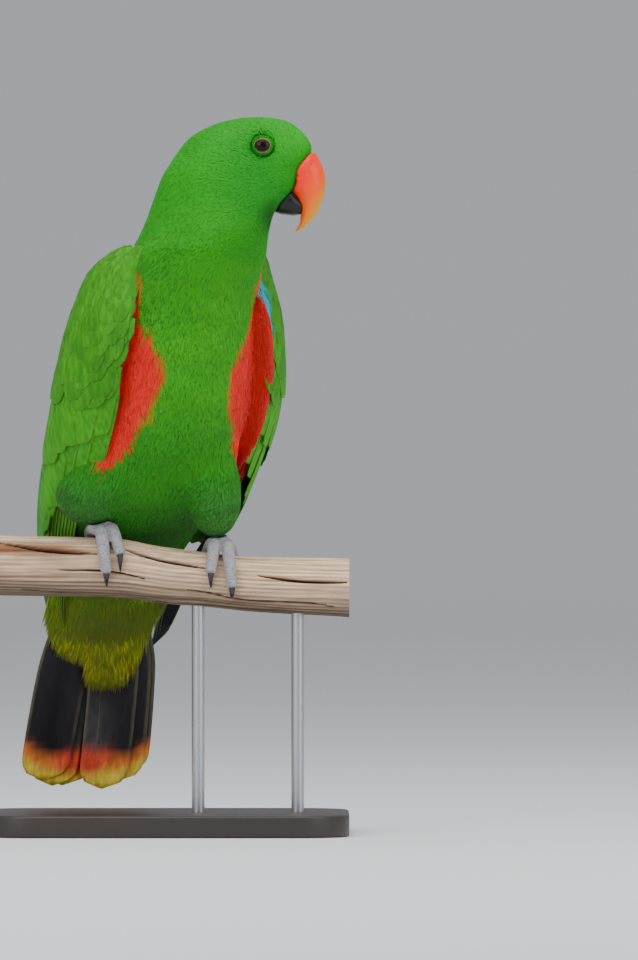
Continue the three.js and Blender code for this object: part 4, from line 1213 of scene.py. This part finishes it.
# %% Eyes and lids
PUPIL, IRIS = math.radians(25), math.radians(41)
PUPIL_BLACK = colour(8, 6, 6)
IRIS_RED = colour(58, 10, 6)
IRIS_EDGE = colour(34, 12, 10)
RIM_PINK = colour(122, 84, 62)
LID_OPENING = (4.1 * MM, 3.3 * MM)
LID_REACH = 5.8 * MM
LID_THICKNESS = 1.2 * MM
LID_RINGS, LID_SIDES = 10, 48


def lid_mesh(name, centre, radius, side):
    """A shell from the oval opening out to the socket's rim, with a rolled pale edge."""
    around = np.linspace(0, 2 * math.pi, LID_SIDES, endpoint=False)
    inner = np.c_[LID_OPENING[0] * np.cos(around), LID_OPENING[1] * np.sin(around)]
    outer = np.c_[LID_REACH * np.cos(around), LID_REACH * np.sin(around)]
    rings, tones = [], []
    for k in range(LID_RINGS + 1):
        share = k / LID_RINGS
        flat = inner + (outer - inner) * share
        roll = 0.3 * math.exp(-(((share - 0.15) / 0.2) ** 2)) + 0.2
        on_ball = np.sqrt(np.maximum(radius**2 - np.sum(flat**2, axis=1), (1.2 * MM) ** 2))
        rings.append(np.c_[flat[:, 0], side * (on_ball + roll * MM), flat[:, 1]])
        tones.append(mixed(RIM_PINK, 0.8 * HEAD_GREEN, smoothstep(np.full(LID_SIDES, share), 0.15, 0.35)))
    for k in (LID_RINGS, 0):
        back = rings[k].copy()
        back[:, 1] -= side * LID_THICKNESS
        rings.append(back)
        tones.append(tones[k])
    points = np.concatenate(rings) + np.array(centre)
    count = len(rings)
    index = np.arange(count * LID_SIDES).reshape(count, LID_SIDES)
    here, there = index, np.roll(index, -1, 0)
    quads = np.stack([here, np.roll(here, -1, 1), np.roll(there, -1, 1), there], -1).reshape(-1, 4)
    piece, _ = quad_mesh(name, points, quads[:, :: int(side)], np.zeros((0, 3), int))
    store_colour(piece.data, np.concatenate(tones))
    smooth_shaded(piece)
    return piece


def eye(side, which):
    low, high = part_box(f"eye_{which}")
    centre = (low + high) / 2
    radius = (high.x - low.x) / 2
    bpy.ops.object.select_all(action="DESELECT")
    bpy.ops.mesh.primitive_uv_sphere_add(segments=48, ring_count=48, radius=radius, location=centre)
    ball = new_object(f"eyeball_{which}")
    bpy.ops.transform.rotate(value=math.pi / 2, orient_axis="X", center_override=centre)
    bpy.ops.object.transform_apply(location=True, rotation=True, scale=True)
    away = unit(points_of(ball) - np.array(centre))
    off_axis = np.arccos(np.clip(side * away[:, 1], -1, 1))
    tone = mixed(PUPIL_BLACK, IRIS_RED, smoothstep(off_axis, PUPIL, PUPIL + 0.08))
    tone = mixed(tone, IRIS_EDGE, smoothstep(off_axis, IRIS - 0.12, IRIS))
    store_colour(ball.data, tone)
    smooth_shaded(ball)
    finished(ball, "eye", EYE, f"eye_{which}")
    finished(lid_mesh(f"eyelid_{which}", centre, radius, side), "foot_skin", LID)


eye(-1, "right")
eye(1, "left")

# %% [markdown]
# ## The bill
# The upper bill is glossy, coral at its base and yellow towards the hooked tip; the lower one is
# black. The solids already have the form, so it is only made fine and smooth.

# %% Upper and lower bill
BILL_CORAL = colour(255, 34, 6)
BILL_ORANGE = colour(255, 84, 0)
BILL_YELLOW = colour(226, 150, 0)
BILL_BLACK = colour(24, 26, 28)

# The upper bill widens a little where it meets the feathers, and the lower one fills out its gape.
BILL_FLARE = 2.0 * MM
LOWER_BILL_GROWTH = np.array([1.18, 1.08, 1.25])
LOWER_BILL_SHIFT = np.array([0.8, 0, 1.2]) * MM

upper_bill = smooth_copy("upper_bill", 0.5 * MM, 16, "bill_upper")
spots = points_of(upper_bill)
flare = 1 - smoothstep(spots[:, 0] - 0.45 * (spots[:, 2] - 0.352), 0.0685, 0.0755)
move_points(upper_bill, spots + normals_of(upper_bill) * (BILL_FLARE * flare)[:, None])
down_bill = (0.372 - spots[:, 2]) / 0.046 + 0.5 * (spots[:, 0] - 0.074) / 0.014
tone = mixed(BILL_CORAL, BILL_ORANGE, smoothstep(down_bill, 0.3, 0.85))
store_colour(upper_bill.data, mixed(tone, BILL_YELLOW, smoothstep(down_bill, 0.75, 1.05)))
smooth_shaded(upper_bill)
finished(upper_bill, "bill_orange", BILL, "bill_upper")
lower_bill = smooth_copy("lower_bill", 0.5 * MM, 4, "bill_lower")
spots = points_of(lower_bill)
middle = spots.mean(axis=0)
move_points(lower_bill, middle + (spots - middle) * LOWER_BILL_GROWTH + LOWER_BILL_SHIFT)
store_colour(lower_bill.data, np.tile(BILL_BLACK, (len(lower_bill.data.vertices), 1)))
smooth_shaded(lower_bill)
finished(lower_bill, "bill_black", BILL, "bill_lower")

# %% [markdown]
# ## Feet and claws
# Two toes point forwards and two back on each foot, clad in grey pebbly scales. The solids' limbs
# are remeshed so that the toes run into the foot without a crease.

# %% Feet and claws
FOOT_GREY = colour(156, 154, 158)
CLAW_DARK = colour(44, 44, 50)
for which in ("right", "left"):
    foot = smooth_copy(f"foot_skin_{which}", 0.5 * MM, 6, f"foot_{which}")
    spots = points_of(foot)
    store_colour(foot.data, FOOT_GREY * (1 + 0.12 * wavy(spots, 5 * MM, 8))[:, None])
    smooth_shaded(foot)
    finished(foot, "foot_skin", FOOT, f"foot_{which}")

# %% [markdown]
# ## The branch
# Dead, weathered wood: tan with pale worn streaks along long fibres, dark cracks along it, and a
# rusty patch. Light from above is painted in: the top is lighter and its pale streaks are stronger,
# the underside is darker with painted shade, and a painted shadow lies on one side towards one end.
# A flat grid is rolled into the branch's form and its relief is pressed in by a few functions of the
# place along it and the angle round it.

# %% The branch
BRANCH_LINE = MM * table(
    (-98, 146.8, 16.4),
    (-60, 145.6, 16.2),
    (-25, 144.2, 16),
    (0, 140.4, 15.2),
    (20, 138.4, 14.8),
    (45, 135.6, 15),
    (100, 132.8, 16),
)
BRANCH_START, BRANCH_LENGTH = -0.098, 0.198
# Each crack: start and end along the branch in metres, angle from the top at both, width in degrees.
CRACKS = (
    (-0.092, -0.036, 48, 66, 5),
    (-0.024, 0.024, 44, 68, 6),
    (0.050, 0.099, 70, 78, 6),
    (-0.060, -0.010, 96, 104, 3),
    (0.000, 0.060, 20, 30, 3),
    (-0.090, -0.030, -60, -50, 5),
    (-0.010, 0.080, -95, -80, 5),
    (-0.080, 0.010, 150, 160, 4),
    (0.010, 0.095, 118, 128, 3),
)
WOOD_PALE = colour(240, 212, 180)
WOOD_TAN = colour(190, 158, 126)
# The wood's tone in painted shade, on the underside and the shadow side.
WOOD_SHADE = colour(88, 72, 60)
WOOD_RUST = colour(128, 78, 48)
CRACK_DARK = colour(52, 30, 20)


def bark_radius(x, turn, radius):
    """The branch isn't quite round: a few broad waves run round it and along it."""
    return radius * (1 + 0.03 * np.sin(3 * turn + 20 * x) + 0.02 * np.sin(5 * turn - 50 * x))


def fibres(x, angle, seed):
    waves = np.random.default_rng(seed)
    total = 0
    for _ in range(14):
        rounds = waves.integers(4, 46)
        total = total + np.sin(rounds * angle + waves.uniform(20, 160) * x + waves.uniform(0, 6.3))
    return total / 4.5


bpy.ops.object.select_all(action="DESELECT")
bpy.ops.mesh.primitive_grid_add(x_subdivisions=380, y_subdivisions=180, size=2)
branch = new_object("branch_wood")
flat = points_of(branch)
x = BRANCH_START + BRANCH_LENGTH * (flat[:, 0] + 1) / 2
turn = flat[:, 1] * math.pi
height, radius = table_at(BRANCH_LINE, x).T
radius = bark_radius(x, turn, radius)
fine_fibres = fibres(x, turn, 2)
broad_fibres = fibres(x * 0.4, np.round(turn, 3), 9)
relief = 0.12 * fine_fibres + 0.18 * np.tanh(broad_fibres)
depth = np.zeros(len(x))
for start, end, angle_start, angle_end, width in CRACKS:
    share = (x - start) / (end - start)
    centre = angle_start + (angle_end - angle_start) * share + 3 * np.sin(90 * x + start * 400)
    half = width * np.clip(np.sin(np.clip(share, 0, 1) * math.pi), 0, 1) ** 0.6
    off = np.abs((np.degrees(turn) - centre + 180) % 360 - 180)
    depth = np.maximum(depth, np.clip(1 - off / np.maximum(half, 0.01), 0, 1) * (half > 0.3))
radius = radius + (relief - 2.6 * depth**0.8 - 0.25) * MM
move_points(branch, np.c_[x, -radius * np.sin(turn), height + radius * np.cos(turn)])
# Painted light from above: the top lighter, the underside in painted shade.
top_light = smoothstep(np.cos(turn - 0.5), -0.6, 0.9)
tone = mixed(WOOD_SHADE, WOOD_TAN, top_light)
# Pale worn streaks, made stronger on top as painted light.
tone = mixed(tone, WOOD_PALE, np.clip(0.5 + 0.5 * broad_fibres, 0, 1) * (0.25 + 0.6 * top_light))
shadow_side = smoothstep(x, 0.0, 0.07) * smoothstep(-np.cos(turn - 0.9), -0.5, 0.5)
tone = mixed(tone, WOOD_SHADE, 0.6 * shadow_side)
rotten = smoothstep(-x, 0.03, 0.06) * np.exp(-(((np.degrees(turn) - 58) / 16) ** 2))
tone = mixed(tone, WOOD_RUST, 0.95 * rotten)
tone = tone * (1 + 0.12 * fine_fibres)[:, None]
tone = mixed(tone, CRACK_DARK, smoothstep(depth, 0.1, 0.7))
store_colour(branch.data, tone)
with editing(branch):
    bpy.ops.mesh.remove_doubles(threshold=0.02 * MM)
    bpy.ops.mesh.select_mode(type="EDGE")
    bpy.ops.mesh.select_all(action="DESELECT")
    bpy.ops.mesh.select_non_manifold(extend=False, use_boundary=True)
    bpy.ops.mesh.fill_holes(sides=0)
    bpy.ops.mesh.select_all(action="SELECT")
    bpy.ops.mesh.normals_make_consistent(inside=False)
smooth_shaded(branch, 40)
finished(branch, "branch_wood", BRANCH, "perch")

# %% [markdown]
# ## Claws
# A claw is a curved cone that starts inside the end of its toe and follows the bark round. Rings are
# laid at a few steps along its arc, each thinner than the last, and closed at both ends.

# %% Claws round the branch
# Each claw: place along the branch, angle over it where the toe ends, and angle it spans.
CLAW_ARCS = {
    "right": ((-31.5, 97, 36), (-24, 66, 34), (-45, -86, 32), (-27, -76, 32)),
    "left": ((25, 76, 34), (36.5, 96, 34), (20, -76, 32), (39, -86, 32)),
}
CLAW_ROOT_RADIUS = 2.3 * MM
CLAW_STEPS, CLAW_SIDES = 14, 14


def over_branch(x, degrees, above):
    turn = np.radians(degrees)
    height, radius = np.moveaxis(table_at(BRANCH_LINE, x), -1, 0)
    reach = bark_radius(x, turn, radius) + above
    return np.stack([x, -reach * np.sin(turn), height + reach * np.cos(turn)], -1)


def claws(which):
    rings, quads, caps = [], [], []
    for x, end, span in CLAW_ARCS[which]:
        sense = math.copysign(1, end)
        first = len(rings) * CLAW_SIDES
        for k in range(CLAW_STEPS + 1):
            t = k / CLAW_STEPS
            radius = CLAW_ROOT_RADIUS * (1 - t) ** 0.8 + 0.15 * MM
            around = np.linspace(0, 2 * math.pi, CLAW_SIDES, endpoint=False)
            arch = 1.6 * MM * math.sin(math.pi * min(t * 1.15, 1))
            above = radius + arch + 0.2 * MM + radius * np.sin(around)
            angle = end - sense * 4 + sense * span * t
            spot = over_branch(np.full(CLAW_SIDES, x * MM), angle, above)
            spot[:, 0] += 0.85 * radius * np.cos(around)
            rings.append(spot)
        index = first + np.arange((CLAW_STEPS + 1) * CLAW_SIDES).reshape(-1, CLAW_SIDES)
        quads.append(ring_quads(index)[:, ::-1])
        for ring, turn in ((index[0], -1), (index[-1], 1)):
            fan = [(ring[0], ring[i], ring[i + 1])[::turn] for i in range(1, CLAW_SIDES - 1)]
            caps.append(np.array(fan))
    points = np.concatenate(rings)
    piece, _ = quad_mesh(f"claws_{which}", points, np.concatenate(quads), np.concatenate(caps))
    with editing(piece):
        bpy.ops.mesh.normals_make_consistent(inside=False)
    store_colour(piece.data, np.tile(CLAW_DARK, (len(points), 1)))
    smooth_shaded(piece)
    return piece


for which in ("right", "left"):
    nodes = [f"claw_{which}_{i}" for i in range(1, 5)]
    finished(claws(which), "claw_horn", CLAW, *nodes)

# %% [markdown]
# ## The stand
# A dark plate and two steel rods hold the branch up. They are made again with rounder edges than
# the solids have, at the same sizes.


# %% Plate and rods
def plain(name, tone, roughness, metallic=0.0):
    material = bpy.data.materials.new(name)
    material.use_nodes = True
    shader = material.node_tree.nodes["Principled BSDF"]
    shader.inputs["Base Color"].default_value = (*tone, 1)
    shader.inputs["Roughness"].default_value = roughness
    shader.inputs["Metallic"].default_value = metallic
    return material


PLATE = plain("dark stained plate", colour(48, 42, 38), 0.45)
PLATE_CORNER, PLATE_EDGE = 30 * MM, 1.5 * MM
STEEL = plain("brushed steel", colour(190, 192, 196), 0.3, 1.0)
low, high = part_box("stand_base")
size = high - low
bpy.ops.object.select_all(action="DESELECT")
bpy.ops.mesh.primitive_cube_add(size=1, location=(low + high) / 2)
plate = new_object("stand_plate_top")
bpy.ops.transform.resize(value=size)
bpy.ops.object.transform_apply(location=True, rotation=True, scale=True)
bpy.ops.object.mode_set(mode="EDIT")
bpy.ops.mesh.select_mode(type="EDGE")
bpy.ops.mesh.select_all(action="DESELECT")
bpy.ops.object.mode_set(mode="OBJECT")
corners = points_of(plate)
for edge in plate.data.edges:
    a, b = (corners[i] for i in edge.vertices)
    edge.select = abs(a[2] - b[2]) > 1 * MM
bpy.ops.object.mode_set(mode="EDIT")
bpy.ops.mesh.bevel(offset=PLATE_CORNER, segments=16)
bpy.ops.object.mode_set(mode="OBJECT")
apply_modifier(plate, "BEVEL", width=PLATE_EDGE, segments=4, limit_method="ANGLE")
smooth_shaded(plate, 35)
finished(plate, "stand_plate", PLATE, "stand_base")
for number in (1, 2):
    low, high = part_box(f"stand_rod_{number}")
    bpy.ops.object.select_all(action="DESELECT")
    bpy.ops.mesh.primitive_cylinder_add(
        vertices=48, radius=(high.x - low.x) / 2, depth=high.z - low.z, location=(low + high) / 2
    )
    rod = new_object(f"rod_{number}")
    bpy.ops.object.transform_apply(location=True, rotation=True, scale=True)
    smooth_shaded(rod, 35)
    finished(rod, "stand_steel", STEEL, f"stand_rod_{number}")

# %% [markdown]
# ## Floor and light
# A wide, round, pale floor curves up far away, so that the model can be looked at from every side.
# Large soft lights stand above and to both sides, as on an overcast day.

# %% Floor and lights
FLOOR_TONE = colour(226, 227, 228)
floor_material = plain("pale paper", FLOOR_TONE, 0.9)
bpy.ops.object.select_all(action="DESELECT")
bpy.ops.mesh.primitive_grid_add(x_subdivisions=72, y_subdivisions=60, size=2)
floor = new_object("paper_floor")
flat = points_of(floor)
FLOOR_RADIUS, FLOOR_CURVE, FLOOR_RUN = 8.0, 1.5, 12.0
run = (flat[:, 1] + 1) / 2 * FLOOR_RUN
bend = np.clip((run - FLOOR_RADIUS) / FLOOR_CURVE, 0, math.pi / 2)
wall = np.clip(run - FLOOR_RADIUS - FLOOR_CURVE * math.pi / 2, 0, None)
out = np.minimum(run, FLOOR_RADIUS) + FLOOR_CURVE * np.sin(bend)
turn = flat[:, 0] * math.pi
rise = FLOOR_CURVE * (1 - np.cos(bend)) + wall
move_points(floor, np.c_[out * np.cos(turn), out * np.sin(turn), rise])
smooth_shaded(floor)
floor.data.materials.append(floor_material)


def soft_light(name, place, target, size, power):
    data = bpy.data.lights.new(name, "AREA")
    data.shape = "RECTANGLE"
    data.size, data.size_y = size
    data.energy = power
    light = bpy.data.objects.new(name, data)
    bpy.context.collection.objects.link(light)
    light.location = place
    light.rotation_euler = (Vector(target) - Vector(place)).to_track_quat("-Z", "Y").to_euler()


soft_light("sky panel", (0.2, -0.6, 2.2), (0, 0, 0.2), (2.4, 2.0), 48)
soft_light("front panel", (-1.4, -2.0, 1.2), (0, 0, 0.25), (1.6, 1.6), 26)
soft_light("right panel", (1.8, -1.2, 0.9), (0, 0, 0.25), (1.2, 1.4), 13)
world = bpy.data.worlds.new("studio air")
world.use_nodes = True
background = world.node_tree.nodes["Background"]
background.inputs["Color"].default_value = (0.93, 0.95, 1, 1)
background.inputs["Strength"].default_value = 0.6
bpy.context.scene.world = world

# %% [markdown]
# ## Camera
# The camera looks level at the bird from the photograph's side. It stands far off with a long lens,
# so that one pixel of the photograph is the same length all over the bird.

# %% Camera
# The photograph is 960 rows high, and one of its pixels is 0.543 mm at the bird.
PHOTO_ROWS = 960
PIXEL_SIZE = 0.543 * MM
CAMERA_DISTANCE = 6.0
CAMERA_PLACE = (0.0836, -CAMERA_DISTANCE, 0.1922)
PICTURE_HEIGHT = PHOTO_ROWS * PIXEL_SIZE
SENSOR = 36
camera_data = bpy.data.cameras.new("view")
camera_data.sensor_width = SENSOR
camera_data.lens = SENSOR * CAMERA_DISTANCE / PICTURE_HEIGHT
camera = bpy.data.objects.new("view", camera_data)
camera.location = CAMERA_PLACE
camera.rotation_euler = (math.pi / 2, 0, 0)
bpy.context.collection.objects.link(camera)
bpy.context.scene.camera = camera
